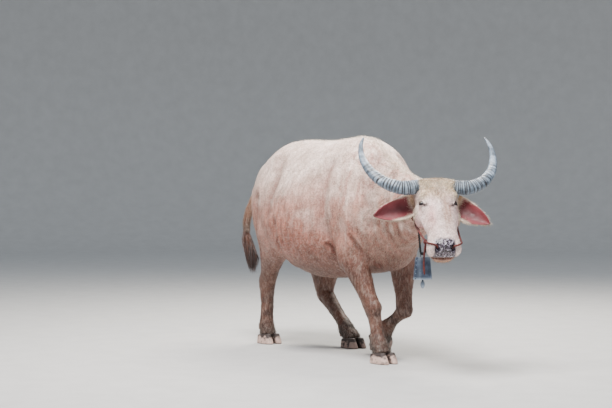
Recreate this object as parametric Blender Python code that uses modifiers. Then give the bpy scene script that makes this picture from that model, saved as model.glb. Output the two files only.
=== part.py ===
# Life-size still model of a pale swamp buffalo, walking, with a nose rope, a collar and a bell.
# Metres, +Z up. The animal faces +X and its left side is towards +Y.
# It is laid out on a floor at z = 0, with x = 0 under the middle of the trunk,
# and moved at the end so that the origin is the centre of its own footprint.
import math
import random

import bmesh
import bpy
from mathutils import Euler, Matrix, Vector
from mathutils.bvhtree import BVHTree

# Driving dimensions
WITHERS_HEIGHT = 1.315
BARREL_HALF_WIDTH = 0.365
BELLY_CLEARANCE = 0.450
GAP = 0.0003
SURFACE_GAP = 0.0005
VOXEL = 0.009
SMOOTH_PASSES = 60
TRUNK_TRIANGLES = 1350
LEG_TRIANGLES = 1600
HEAD_TRIANGLES = 1500

# The trunk, from the pin bones to the breast: x, top, bottom, half width
TRUNK = (
    (-0.765, 1.060, 0.90, 0.045),
    (-0.72, 1.125, 0.80, 0.110),
    (-0.62, 1.205, 0.77, 0.190),
    (-0.48, 1.280, 0.69, 0.258),
    (-0.32, 1.313, 0.570, 0.320),
    (-0.10, 1.306, 0.468, BARREL_HALF_WIDTH - 0.005),
    (0.08, 1.304, BELLY_CLEARANCE, BARREL_HALF_WIDTH),
    (0.24, 1.314, 0.466, 0.325),
    (0.36, WITHERS_HEIGHT + 0.004, 0.490, 0.275),
    (0.50, 1.280, 0.500, 0.245),
    (0.62, 1.203, 0.530, 0.225),
    (0.71, 1.120, 0.605, 0.185),
    (0.765, 1.040, 0.70, 0.120),
)
# The neck, from inside the trunk to the poll: x, y, middle z, half height, half width
NECK = (
    (0.42, 0.000, 0.960, 0.300, 0.170),
    (0.60, -0.005, 0.926, 0.274, 0.165),
    (0.75, -0.020, 0.884, 0.234, 0.145),
    (0.90, -0.037, 0.877, 0.190, 0.122),
    (1.02, -0.055, 0.900, 0.150, 0.106),
    (1.11, -0.074, 0.932, 0.116, 0.098),
)

# The head's own frame: x down the face to the nose, y to its left, z out of the face
POLL = Vector((1.161, -0.093, 1.060))
HEAD_YAW = math.radians(-28)
HEAD_PITCH = math.radians(46.5)
# x, top, bottom, half width, narrowing of the jaw side
SKULL = (
    (-0.042, -0.048, -0.120, 0.088, 0.0),
    (-0.018, -0.014, -0.155, 0.118, 0.0),
    (0.020, 0.006, -0.180, 0.128, 0.1),
    (0.075, 0.016, -0.190, 0.125, 0.2),
    (0.130, 0.015, -0.185, 0.114, 0.3),
    (0.190, 0.008, -0.165, 0.101, 0.4),
    (0.260, 0.002, -0.140, 0.087, 0.4),
    (0.330, 0.000, -0.118, 0.079, 0.3),
    (0.380, 0.001, -0.106, 0.081, 0.2),
    (0.428, -0.003, -0.104, 0.092, 0.1),
    (0.464, -0.018, -0.102, 0.094, 0.0),
    (0.490, -0.044, -0.092, 0.068, 0.0),
)
JAW = (
    (0.050, -0.080, -0.205, 0.052, 0.3),
    (0.095, -0.090, -0.228, 0.064, 0.3),
    (0.150, -0.095, -0.224, 0.064, 0.3),
    (0.230, -0.085, -0.192, 0.055, 0.3),
    (0.320, -0.080, -0.164, 0.050, 0.3),
    (0.395, -0.085, -0.160, 0.060, 0.2),
    (0.440, -0.090, -0.164, 0.070, 0.1),
    (0.478, -0.100, -0.156, 0.054, 0.0),
)
EYE = Vector((0.160, 0.0845, -0.034))
EYE_RADIUS = 0.0215
EYE_GAZE = Vector((0.16, 0.72, 0.68)).normalized()
NOSTRIL = Vector((0.474, 0.041, -0.032))
MOUTH_HEIGHT = -0.100
MOUTH_START = 0.350
# The middle of a horn from the skull to its tip, and how far each side opens
HORN_PATH = (
    (0.032, 0.088, -0.024),
    (0.044, 0.132, -0.020),
    (0.046, 0.192, -0.018),
    (0.004, 0.268, -0.024),
    (-0.088, 0.334, -0.038),
    (-0.214, 0.370, -0.058),
    (-0.326, 0.370, -0.068),
    (-0.400, 0.346, -0.072),
)
HORN_OPENING = {"left": 0.98, "right": 1.035}
HORN_HALF = (0.0385, 0.030)
HORN_BULGE = 0.20
HORN_RINGS = 25
EAR_ROOT = Vector((0.080, 0.104, -0.098))
EAR_LENGTH = 0.266
EAR_HALF_WIDTH = 0.066
EAR_SAG = -0.014
EAR_REACH = {"left": Vector((0.75, 0.66, 0.11)), "right": Vector((0.36, 0.93, -0.06))}

# Joints of each leg in this stride, each as x, y, z. Right is towards -Y.
FORELEGS = {
    "right": {
        "shoulder": (0.50, -0.165, 0.84),
        "elbow": (0.466, -0.180, 0.630),
        "carpus": (0.645, -0.152, 0.312),
        "fetlock": (0.694, -0.148, 0.122),
        "coronet": (0.728, -0.146, 0.062),
        "heading": 0.0,
        "tip": 0.0,
    },
    "left": {
        "shoulder": (0.52, 0.165, 0.83),
        "elbow": (0.465, 0.195, 0.620),
        "carpus": (0.524, 0.164, 0.276),
        "fetlock": (0.378, 0.150, 0.172),
        "coronet": (0.336, 0.147, 0.108),
        "heading": 0.0,
        "tip": 58.0,
    },
}
HINDLEGS = {
    "right": {
        "hip": (-0.46, -0.165, 0.96),
        "stifle": (-0.330, -0.205, 0.700),
        "hock": (-0.530, -0.153, 0.400),
        "fetlock": (-0.552, -0.146, 0.128),
        "coronet": (-0.533, -0.148, 0.062),
        "heading": 0.0,
        "tip": 0.0,
    },
    "left": {
        "hip": (-0.45, 0.165, 0.96),
        "stifle": (-0.270, 0.205, 0.680),
        "hock": (-0.340, 0.165, 0.330),
        "fetlock": (-0.085, 0.160, 0.122),
        "coronet": (-0.022, 0.160, 0.062),
        "heading": 0.0,
        "tip": 0.0,
    },
}
# Where muscles and bones lift the smooth skin, on both sides: centre, reach, rise
SWELLS = (
    ((0.47, 0.22, 1.05), (0.10, 0.20, 0.26), 0.022),
    ((0.60, 0.22, 0.82), (0.12, 0.20, 0.12), 0.024),
    ((0.26, 0.33, 0.98), (0.07, 0.20, 0.22), -0.012),
    ((-0.30, 0.25, 1.20), (0.075, 0.15, 0.060), 0.026),
    ((-0.69, 0.13, 1.11), (0.070, 0.08, 0.060), 0.024),
    ((-0.20, 0.33, 1.08), (0.100, 0.20, 0.120), -0.022),
    ((-0.50, 0.25, 0.96), (0.150, 0.20, 0.200), 0.020),
    ((-0.28, 0.28, 0.72), (0.110, 0.20, 0.120), 0.018),
    ((-0.05, 0.30, 0.66), (0.300, 0.25, 0.160), 0.018),
)
# Girth along a leg: from joint, to joint, share of the way, half depth, half width
FORE_GIRTH = (
    ("shoulder", "elbow", 0.0, 0.150, 0.066),
    ("shoulder", "elbow", 0.6, 0.125, 0.074),
    ("elbow", "carpus", 0.0, 0.104, 0.086),
    ("elbow", "carpus", 0.32, 0.080, 0.074),
    ("elbow", "carpus", 0.70, 0.056, 0.054),
    ("elbow", "carpus", 0.94, 0.054, 0.051),
    ("carpus", "fetlock", 0.08, 0.050, 0.049),
    ("carpus", "fetlock", 0.32, 0.041, 0.040),
    ("carpus", "fetlock", 0.68, 0.039, 0.039),
    ("carpus", "fetlock", 1.0, 0.051, 0.051),
    ("fetlock", "coronet", 0.55, 0.048, 0.053),
    ("fetlock", "coronet", 1.25, 0.052, 0.060),
)
HIND_GIRTH = (
    ("hip", "stifle", 0.0, 0.205, 0.090),
    ("hip", "stifle", 0.45, 0.200, 0.100),
    ("stifle", "hock", -0.02, 0.160, 0.092),
    ("stifle", "hock", 0.30, 0.116, 0.072),
    ("stifle", "hock", 0.62, 0.078, 0.060),
    ("stifle", "hock", 0.86, 0.069, 0.054),
    ("hock", "fetlock", 0.0, 0.070, 0.054),
    ("hock", "fetlock", 0.26, 0.053, 0.046),
    ("hock", "fetlock", 0.70, 0.044, 0.041),
    ("hock", "fetlock", 1.0, 0.050, 0.050),
    ("fetlock", "coronet", 0.55, 0.047, 0.052),
    ("fetlock", "coronet", 1.25, 0.051, 0.059),
)
CLAW_LENGTH = 0.132
CLAW_FORWARD = 0.034
CLAW_HALF_WIDTH = 0.037
CLAW_HEIGHT = 0.066
DEWCLAW_RADIUS = 0.019

# The tail hangs back and towards the right: x, y, z, radius
TAIL = (
    (-0.600, 0.000, 1.120, 0.042),
    (-0.700, 0.000, 1.128, 0.041),
    (-0.768, -0.010, 1.085, 0.037),
    (-0.824, -0.040, 0.985, 0.031),
    (-0.862, -0.085, 0.870, 0.027),
    (-0.878, -0.106, 0.780, 0.0235),
    (-0.876, -0.106, 0.712, 0.021),
)
SWITCH_END = Vector((-0.846, -0.064, 0.530))
SWITCH_LOCKS = 13
SWITCH_TIP_Z = 0.420

# The collar: the plane that it lies in, from nape to throat, and its cord
COLLAR_NAPE = Vector((0.985, -0.050, 1.040))
COLLAR_SIDE = Vector((1.070, -0.060, 0.860))
COLLAR_RADIUS = 0.0065
BELL_TOP = Vector((1.004, -0.062, 0.622))
BELL_HEIGHT = 0.126
BELL_WALL = 0.003
BELL_TOP_HALF = (0.037, 0.026)
BELL_MOUTH_HALF = (0.052, 0.036)
BELL_SIDES = 16
BELL_LOOP = (0.018, 0.026)
BELL_WIRE = 0.0028
CLAPPER_ROD = 0.0030
CLAPPER_HALF = (0.0125, 0.022)
CLAPPER_DROP = 0.152
# The nose rope, from the nostril over the cheek to the nape, in the head's frame
ROPE_RADIUS = 0.0055
ROPE_LIFT = 0.0016
ROPE_PATH = (
    (0.466, 0.036, -0.030),
    (0.456, 0.066, -0.040),
    (0.415, 0.098, -0.050),
    (0.205, 0.102, -0.150),
    (0.120, 0.110, -0.188),
    (0.030, 0.108, -0.190),
    (-0.035, 0.092, -0.135),
    (-0.060, 0.050, -0.065),
    (-0.064, 0.000, -0.050),
)
ROPE_KNOT = 0.0105
ROPE_END_LENGTH = 0.165
ROPE_END_POINTS = 14
# The rope rises over the collar in a long low hump
ROPE_HUMP = 0.0140
ROPE_HUMP_REACH = 0.050

HIDE = (0.72, 0.50, 0.42)
MUDDY_HIDE = (0.42, 0.29, 0.23)
HORN = (0.23, 0.25, 0.27)
CLAW = (0.62, 0.52, 0.46)
SWITCH_HAIR = (0.07, 0.04, 0.035)
EYEBALL = (0.03, 0.025, 0.03)
STRAP = (0.035, 0.035, 0.04)
ROPE = (0.30, 0.09, 0.07)
TIN = (0.36, 0.42, 0.50)

model = bpy.data.collections.new("water_buffalo")
workshop = bpy.data.collections.new("cutters")


def clear_scene():
    for obj in list(bpy.data.objects):
        bpy.data.objects.remove(obj)
    bpy.context.scene.collection.children.link(model)
    bpy.context.scene.collection.children.link(workshop)


def paint(name, colour, roughness, metallic=0.0):
    material = bpy.data.materials.new(name)
    material.use_nodes = True
    shader = material.node_tree.nodes["Principled BSDF"]
    shader.inputs["Base Color"].default_value = (*colour, 1.0)
    shader.inputs["Roughness"].default_value = roughness
    shader.inputs["Metallic"].default_value = metallic
    return material


def object_from(bm, name, material=None, shaded=True):
    """A new object from a finished bmesh, with its faces turned outwards."""
    bmesh.ops.remove_doubles(bm, verts=bm.verts, dist=1e-6)
    bmesh.ops.recalc_face_normals(bm, faces=bm.faces)
    mesh = bpy.data.meshes.new(name)
    bm.to_mesh(mesh)
    bm.free()
    if material:
        mesh.materials.append(material)
    if shaded:
        mesh.shade_smooth()
    obj = bpy.data.objects.new(name, mesh)
    model.objects.link(obj)
    return obj


def helper(obj):
    """Marks an object as a cutter or a guide."""
    obj.hide_render = True
    obj.display_type = "WIRE"
    for collection in list(obj.users_collection):
        collection.objects.unlink(obj)
    workshop.objects.link(obj)
    return obj


def evaluated_mesh(obj):
    bpy.context.view_layer.update()
    graph = bpy.context.evaluated_depsgraph_get()
    return bpy.data.meshes.new_from_object(obj.evaluated_get(graph))


def apply_modifiers(obj):
    mesh = evaluated_mesh(obj)
    obj.modifiers.clear()
    obj.data = mesh
    return obj


def keep_largest(obj):
    """Keeps the part of a mesh with the most faces, and drops loose scraps of a cut."""
    bm = bmesh.new()
    bm.from_mesh(obj.data)
    left = set(bm.verts)
    islands = []
    while left:
        stack = [left.pop()]
        island = set(stack)
        while stack:
            for edge in stack.pop().link_edges:
                for vert in edge.verts:
                    if vert in left:
                        left.remove(vert)
                        island.add(vert)
                        stack.append(vert)
        islands.append(island)
    islands.sort(key=len)
    for island in islands[:-1]:
        bmesh.ops.delete(bm, geom=list(island), context="VERTS")
    bm.to_mesh(obj.data)
    bm.free()
    return obj


def boolean(obj, other, operation, solver="EXACT", remove=True):
    modifier = obj.modifiers.new(operation.lower(), "BOOLEAN")
    modifier.operation = operation
    modifier.solver = solver
    modifier.object = other
    apply_modifiers(obj)
    if remove:
        bpy.data.objects.remove(other)
    return keep_largest(obj)


def fuse(obj, pieces):
    """One union of an object with a list of closed pieces, which are then removed."""
    bunch = bpy.data.collections.new("fusing")
    for piece in pieces:
        bunch.objects.link(piece)
    modifier = obj.modifiers.new("fuse", "BOOLEAN")
    modifier.operation = "UNION"
    modifier.operand_type = "COLLECTION"
    modifier.collection = bunch
    modifier.solver = "EXACT"
    apply_modifiers(obj)
    for piece in pieces:
        bpy.data.objects.remove(piece)
    bpy.data.collections.remove(bunch)
    return keep_largest(obj)


def copy_of(obj, name):
    twin = bpy.data.objects.new(name, obj.data.copy())
    workshop.objects.link(twin)
    return helper(twin)


def grown(obj, gap=SURFACE_GAP):
    """A copy whose faces all stand out by the gap that touching pieces keep."""
    twin = copy_of(obj, obj.name + "_grown")
    bm = bmesh.new()
    bm.from_mesh(twin.data)
    bm.normal_update()
    shifts = [vert.normal * gap * vert.calc_shell_factor() for vert in bm.verts]
    for vert, shift in zip(bm.verts, shifts):
        vert.co += shift
    bm.to_mesh(twin.data)
    bm.free()
    return twin


def spline(stations, per_span):
    """Numbers read along a smooth curve through rows of numbers of equal length."""
    rows = [list(row) for row in stations]
    found = []
    for i in range(len(rows) - 1):
        before = rows[max(i - 1, 0)]
        first, second = rows[i], rows[i + 1]
        after = rows[min(i + 2, len(rows) - 1)]
        for step in range(per_span):
            t = step / per_span
            found.append([
                0.5 * (2 * b + (c - a) * t + (2 * a - 5 * b + 4 * c - d) * t * t
                       + (3 * b - a - 3 * c + d) * t ** 3)
                for a, b, c, d in zip(before, first, second, after)
            ])
    found.append(rows[-1])
    return found


def rounded(angle, power):
    """A point of a superellipse of half sizes 1; 2 is an ellipse, more is boxier."""
    c, s = math.cos(angle), math.sin(angle)
    share = 2.0 / power
    return math.copysign(abs(c) ** share, c), math.copysign(abs(s) ** share, s)


def loft(bm, rings):
    """Closed skin through rings of equal count, with its two ends capped."""
    rows = [[bm.verts.new(point) for point in ring] for ring in rings]
    count = len(rows[0])
    for low, high in zip(rows, rows[1:]):
        for i in range(count):
            j = (i + 1) % count
            bm.faces.new((low[i], low[j], high[j], high[i]))
    bm.faces.new(rows[0][::-1])
    bm.faces.new(rows[-1])


def sweep(bm, stations, count=16, per_span=3, across=Vector((0, 1, 0)), power=2.0):
    """A limb along a smooth path. Each station is x, y, z, half depth, half width, and
    the width lies along the given direction as nearly as the path allows."""
    rows = spline(stations, per_span)
    centres = [Vector(row[:3]) for row in rows]
    rings = []
    for i, centre in enumerate(centres):
        along = centres[min(i + 1, len(centres) - 1)] - centres[max(i - 1, 0)]
        along.normalize()
        side = (across - along * across.dot(along)).normalized()
        front = side.cross(along)
        ring = []
        for k in range(count):
            a, b = rounded(2 * math.pi * k / count, power)
            ring.append(centre + front * (a * rows[i][3]) + side * (b * rows[i][4]))
        rings.append(ring)
    loft(bm, rings)


def blob(bm, centre, radii, turn=(0, 0, 0), segments=20):
    """A muscle or a bone end as an ellipsoid, turned by angles in degrees."""
    place = Matrix.LocRotScale(
        Vector(centre), Euler([math.radians(a) for a in turn]), Vector(radii)
    )
    bmesh.ops.create_uvsphere(
        bm, u_segments=segments, v_segments=segments // 2 + 2, radius=1.0, matrix=place
    )


def head_frame():
    turn = (
        Matrix.Rotation(HEAD_YAW, 4, "Z")
        @ Matrix.Rotation(HEAD_PITCH, 4, "Y")
    )
    return Matrix.Translation(POLL) @ turn


HEAD = head_frame()
SIDES = (("left", 1.0), ("right", -1.0))


def trunk_rings():
    rings = []
    for x, top, bottom, half in spline(TRUNK, 3):
        middle = bottom + (top - bottom) * 0.44
        ring = []
        for k in range(36):
            a, b = rounded(2 * math.pi * k / 36, 2.1)
            height = (top - middle) if b > 0 else (middle - bottom)
            roof = 1.0 - 0.16 * max(b, 0.0) ** 2
            ring.append(Vector((x, half * a * roof, middle + height * b)))
        rings.append(ring)
    return rings


def neck_rings():
    rings = []
    for x, y, z, half_height, half_width in spline(NECK, 3):
        lean = 0.35 * (x - 0.42)
        ring = []
        for k in range(28):
            a, b = rounded(2 * math.pi * k / 28, 2.0)
            crest = 1.0 - 0.28 * max(b, 0.0) ** 2
            ring.append(Vector((
                x + lean * b * half_height, y + half_width * a * crest, z + half_height * b
            )))
        rings.append(ring)
    return rings


def head_rings(rows):
    """Sections of the head in its own frame, narrowed on the jaw side."""
    rings = []
    for x, top, bottom, half, narrow in spline(rows, 3):
        middle = top + (bottom - top) * 0.42
        ring = []
        for k in range(24):
            a, b = rounded(2 * math.pi * k / 24, 2.35)
            height = (top - middle) if b > 0 else (middle - bottom)
            width = half * (1.0 - narrow * max(-b, 0.0) ** 1.5)
            ring.append(HEAD @ Vector((x, width * a, middle + height * b)))
        rings.append(ring)
    return rings


def head_blob(bm, centre, radii, turn=(0, 0, 0)):
    """A blob in the head's own frame."""
    local = Matrix.LocRotScale(
        Vector(centre), Euler([math.radians(a) for a in turn]), Vector(radii)
    )
    bmesh.ops.create_uvsphere(
        bm, u_segments=18, v_segments=12, radius=1.0, matrix=HEAD @ local
    )


def add_head(bm):
    loft(bm, head_rings(SKULL))
    loft(bm, head_rings(JAW))
    for _, s in SIDES:
        head_blob(bm, (0.118, s * 0.082, -0.018), (0.038, 0.026, 0.028), (0, 0, s * -12))
        head_blob(bm, (0.165, s * 0.092, -0.108), (0.085, 0.033, 0.062))
        head_blob(bm, (0.235, s * 0.076, -0.058), (0.070, 0.020, 0.020), (0, 0, s * -8))
        head_blob(bm, (0.454, s * 0.062, -0.064), (0.040, 0.036, 0.048))
        x, y, z = HORN_PATH[0]
        head_blob(bm, (x, y * s, z), (0.044, 0.040, 0.036))
    head_blob(bm, (0.454, 0.0, -0.046), (0.042, 0.062, 0.044))
    head_blob(bm, (0.446, 0.0, -0.132), (0.042, 0.056, 0.032))
    head_blob(bm, (0.016, 0.0, -0.014), (0.032, 0.112, 0.026))


def leg_stations(joints, girths):
    stations = []
    for start, end, share, half_depth, half_width in girths:
        place = Vector(joints[start]).lerp(Vector(joints[end]), share)
        stations.append((*place, half_depth, half_width))
    return stations


def add_forequarter(bm, s, joints):
    sweep(bm, leg_stations(joints, FORE_GIRTH), count=18)
    elbow = Vector(joints["elbow"])
    blob(bm, elbow + Vector((-0.050, s * -0.012, 0.045)), (0.058, 0.045, 0.075), (0, 12, 0))
    carpus = Vector(joints["carpus"])
    blob(bm, carpus + Vector((0.012, 0, 0)), (0.048, 0.050, 0.052))


def add_hindquarter(bm, s, joints):
    """The leg, and behind it the long muscle and tendon from the pin bone to the hock."""
    sweep(bm, leg_stations(joints, HIND_GIRTH), count=18)
    hock, fetlock = Vector(joints["hock"]), Vector(joints["fetlock"])
    down = (fetlock - hock).normalized()
    back = Vector((0, 1, 0)).cross(down)
    pin = Vector((-0.600, s * 0.130, 1.000))
    heel = hock + back * 0.040 - down * 0.055
    sweep(bm, [
        (*pin, 0.100, 0.085),
        (*(pin.lerp(heel, 0.35) - back * 0.040), 0.135, 0.082),
        (*(pin.lerp(heel, 0.70) - back * 0.052), 0.104, 0.048),
        (*(pin.lerp(heel, 0.90) - back * 0.024), 0.060, 0.034),
        (*heel, 0.027, 0.025),
        (*(hock + back * 0.034 + down * 0.045), 0.020, 0.022),
        (*(hock + back * 0.018 + down * 0.105), 0.016, 0.018),
    ], count=12)


def softness(place):
    """How freely the skin is smoothed at a place: fully on the trunk, little on head and legs."""
    face = HEAD.inverted() @ place
    near_head = min(1.0, max(0.0, (place.x - 0.80) / 0.22))
    near_foot = min(1.0, max(0.0, (0.66 - place.z) / 0.16)) if abs(place.y) > 0.05 else 0.0
    if -0.10 < place.x < 0.25 and place.z > 0.42:
        near_foot = 0.0
    return 1.0 - max(0.88 * near_head, 0.93 * near_foot)


def swell(place, normal):
    """How far the skin stands out over the muscles and bones beneath it."""
    rise = 0.0
    for centre, radii, height in SWELLS:
        for s in (1.0, -1.0):
            gap = [(p - c * f) / r for p, c, r, f in zip(place, centre, radii, (1, s, 1))]
            rise += height * math.exp(-sum(value * value for value in gap))
    return normal * rise


def flesh():
    """The whole animal's soft outline as one closed skin, before it is parted."""
    bm = bmesh.new()
    loft(bm, trunk_rings())
    loft(bm, neck_rings())
    blob(bm, (0.60, 0, 0.655), (0.150, 0.145, 0.135), (0, 32, 0))
    for side, s in SIDES:
        add_forequarter(bm, s, FORELEGS[side])
        add_hindquarter(bm, s, HINDLEGS[side])
    add_head(bm)
    whole = object_from(bm, "flesh")
    remesh = whole.modifiers.new("voxels", "REMESH")
    remesh.mode = "VOXEL"
    remesh.voxel_size = VOXEL
    apply_modifiers(whole)
    group = whole.vertex_groups.new(name="soft")
    for vert in whole.data.vertices:
        group.add([vert.index], softness(vert.co), "REPLACE")
    smooth = whole.modifiers.new("soften", "SMOOTH")
    smooth.factor = 0.5
    smooth.iterations = SMOOTH_PASSES
    smooth.vertex_group = group.name
    apply_modifiers(whole)
    whole.vertex_groups.clear()
    shifts = [swell(vert.co, vert.normal) for vert in whole.data.vertices]
    for vert, shift in zip(whole.data.vertices, shifts):
        vert.co += shift
    return thinned(whole)


def in_head(place):
    face = HEAD.inverted() @ place
    return face.x > -0.05 and abs(face.y) < 0.16 and -0.26 < face.z < 0.06


def in_leg(place):
    return place.z < 0.60 and softness(place) < 0.9 and not in_head(place)


def in_trunk(place):
    return not in_head(place) and not in_leg(place)


def thinned(whole):
    """Fewer triangles, zone by zone, so that the head and the legs keep their detail."""
    mesh = whole.data
    bm = bmesh.new()
    bm.from_mesh(mesh)
    bmesh.ops.triangulate(bm, faces=bm.faces)
    bm.to_mesh(mesh)
    bm.free()
    for inside, target in (
        (in_trunk, TRUNK_TRIANGLES), (in_leg, LEG_TRIANGLES), (in_head, HEAD_TRIANGLES),
    ):
        mesh = whole.data
        group = whole.vertex_groups.new(name="thin")
        chosen = [vert.index for vert in mesh.vertices if inside(vert.co)]
        group.add(chosen, 1.0, "REPLACE")
        marked = set(chosen)
        count = sum(1 for face in mesh.polygons if all(i in marked for i in face.vertices))
        decimate = whole.modifiers.new("thin", "DECIMATE")
        decimate.ratio = 1.0 - max(0, count - target) / len(mesh.polygons)
        decimate.vertex_group = group.name
        decimate.vertex_group_factor = 1000.0
        decimate.use_collapse_triangulate = True
        apply_modifiers(whole)
        whole.vertex_groups.clear()
    return whole


def prism(outline, inner, outer, drop):
    """A cutter: an outline in x and z drawn through from inner to outer y. The upper part
    of its inner face is lower by drop."""
    bm = bmesh.new()
    rings = []
    for y, fall in ((inner, drop), (outer, 0.0)):
        shares = [min(1.0, max(0.0, (z - 0.2) / 0.4)) for _, z in outline]
        rings.append([
            Vector((x, y, z - fall * share)) for (x, z), share in zip(outline, shares)
        ])
    loft(bm, rings)
    bmesh.ops.triangulate(bm, faces=bm.faces)
    return helper(object_from(bm, "leg_cut", shaded=False))


def slab(point, normal, length, half):
    """A cutter: a block with one face through a point, reaching along the normal."""
    turn = normal.to_track_quat("X", "Z").to_matrix().to_4x4()
    middle = point + normal * (length / 2)
    scale = Matrix.Diagonal((length, 2 * half, 2 * half, 1.0))
    bm = bmesh.new()
    bmesh.ops.create_cube(bm, size=1.0, matrix=Matrix.Translation(middle) @ turn @ scale)
    return helper(object_from(bm, "block_cut", shaded=False))


FORELEG_OUTLINE = (
    (0.215, -0.05), (1.05, -0.05), (1.05, 0.42), (0.66, 0.52), (0.60, 0.70), (0.38, 0.70),
    (0.315, 0.560), (0.275, 0.440), (0.215, 0.340),
)
HINDLEG_OUTLINE = (
    (-0.95, -0.05), (0.20, -0.05), (0.20, 0.30), (0.02, 0.42), (-0.125, 0.60),
    (-0.165, 0.790), (-0.30, 0.900), (-0.62, 0.880), (-0.95, 0.760),
)
FORELEG_INNER, FORELEG_DROP = 0.090, 0.165
HINDLEG_INNER, HINDLEG_DROP = 0.030, 0.260
NECK_CUT = (Vector((1.062, -0.055, 0.920)), Vector((0.93, -0.28, 0.235)).normalized())
CHEST_CUT = (Vector((0.665, 0.0, 0.935)), Vector((0.975, -0.06, 0.215)).normalized())


def part_flesh(whole, hide, muddy):
    """Cuts the skin into head, neck, legs and trunk, a thin gap apart."""
    regions = [
        ("head", slab(*NECK_CUT, 1.2, 0.7), hide),
        ("neck", slab(*CHEST_CUT, 1.2, 0.9), hide),
    ]
    for side, s in SIDES:
        fore = prism(FORELEG_OUTLINE, s * FORELEG_INNER, s * 0.50, FORELEG_DROP)
        regions.append(("foreleg_" + side, fore, muddy))
        hind = prism(HINDLEG_OUTLINE, s * HINDLEG_INNER, s * 0.50, HINDLEG_DROP)
        regions.append(("hindleg_" + side, hind, muddy))
    nodes = {}
    for name, cutter, material in regions:
        piece = copy_of(whole, name)
        wider = grown(cutter, GAP)
        boolean(piece, cutter, "INTERSECT", "MANIFOLD")
        boolean(whole, wider, "DIFFERENCE", "MANIFOLD")
        workshop.objects.unlink(piece)
        model.objects.link(piece)
        piece.hide_render = False
        piece.display_type = "TEXTURED"
        piece.data.materials.clear()
        piece.data.materials.append(material)
        nodes[name] = piece
    whole.name = "torso"
    whole.data.materials.clear()
    whole.data.materials.append(hide)
    nodes["torso"] = whole
    return nodes


def horn(side, s, material):
    """A flattened horn that sweeps out, back and up, ringed on its lower two thirds."""
    path = spline([(x, y * s * HORN_OPENING[side], z) for x, y, z in HORN_PATH], 12)
    path = [HEAD @ Vector(point) for point in path]
    total = len(path) - 1
    rings = []
    for step in range(HORN_RINGS + 1):
        share = step / HORN_RINGS
        spot = share * total
        low = min(int(spot), total - 1)
        centre = path[low].lerp(path[low + 1], spot - low)
        along = (path[min(low + 2, total)] - path[max(low - 1, 0)]).normalized()
        outward = HEAD.to_3x3() @ Vector((0, 0, 1))
        thick = (outward - along * outward.dot(along)).normalized()
        wide = thick.cross(along)
        taper = (1.0 - share ** 1.5) ** 0.72 * (1.0 - 0.10 * share) + 0.03
        taper *= 1.0 + HORN_BULGE * math.sin(math.pi * min(share / 0.75, 1.0))
        ridge = 1.0 + 0.045 * (step % 2) * max(0.0, 1.0 - share / 0.62) ** 0.5
        ring = []
        for k in range(8):
            a, b = rounded(2 * math.pi * k / 8, 2.3)
            size = taper * ridge
            ring.append(centre + wide * (a * HORN_HALF[0] * size) + thick * (b * HORN_HALF[1] * size))
        rings.append(ring)
    bm = bmesh.new()
    loft(bm, rings)
    return object_from(bm, "horn_" + side, material)


def ear(side, s, material):
    """A leaf-shaped ear, cupped and open forwards, thickened into a shell."""
    out = EAR_REACH[side].normalized()
    opening = Vector((0.30, -0.15, 0.94))
    opening = (opening - out * opening.dot(out)).normalized()
    across = opening.cross(out).normalized()
    bm = bmesh.new()
    rows = []
    lengths, sides = 8, 6
    for i in range(lengths + 1):
        share = i / lengths
        width = EAR_HALF_WIDTH * (0.76 + 0.24 * math.sin(math.pi / 2 * min(share / 0.34, 1.0)))
        if share > 0.34:
            width *= math.cos((share - 0.34) / 0.66 * math.pi / 2) ** 0.72 * 0.96 + 0.04
        row = []
        for k in range(sides + 1):
            v = 2 * k / sides - 1
            curl = 0.040 * (1 - share * 0.6) * v * v - 0.030 * (1 - share) ** 1.5
            point = (
                EAR_ROOT + out * (share * EAR_LENGTH) + across * (v * width)
                + opening * curl + across * (EAR_SAG * math.sin(math.pi * share))
            )
            row.append(bm.verts.new(HEAD @ Vector((point.x, point.y * s, point.z))))
        rows.append(row)
    for low, high in zip(rows, rows[1:]):
        for k in range(sides):
            bm.faces.new((low[k], low[k + 1], high[k + 1], high[k]))
    leaf = object_from(bm, "ear_" + side, material)
    shell = leaf.modifiers.new("shell", "SOLIDIFY")
    shell.thickness = 0.008
    shell.offset = 0.0
    return apply_modifiers(leaf)


def lids(s):
    """The rims of the eye: two arcs that meet at its corners, in the head's frame."""
    pieces = []
    centre = Vector((EYE.x, EYE.y * s, EYE.z))
    gaze = Vector((EYE_GAZE.x, s * EYE_GAZE.y, EYE_GAZE.z))
    fore = (Vector((1, 0, 0)) - gaze * gaze.x).normalized()
    up = gaze.cross(fore) * (1 if s > 0 else -1)
    for name, lift, thick in (("upper", 0.62, 0.0062), ("lower", -0.50, 0.0050)):
        stations = []
        for step in range(7):
            t = math.radians(-86 + 172 * step / 6)
            bulge = math.cos(t) * lift
            direction = (fore * math.sin(t) * 0.92 + up * bulge + gaze * 0.62).normalized()
            place = HEAD @ (centre + direction * (EYE_RADIUS + 0.0018))
            size = thick * (0.45 + 0.55 * math.cos(t) ** 0.5)
            stations.append((*place, size, size * 1.2))
        bm = bmesh.new()
        sweep(bm, stations, count=6, per_span=1, across=HEAD.to_3x3() @ gaze)
        pieces.append(object_from(bm, "lid_" + name))
    return pieces


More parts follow.
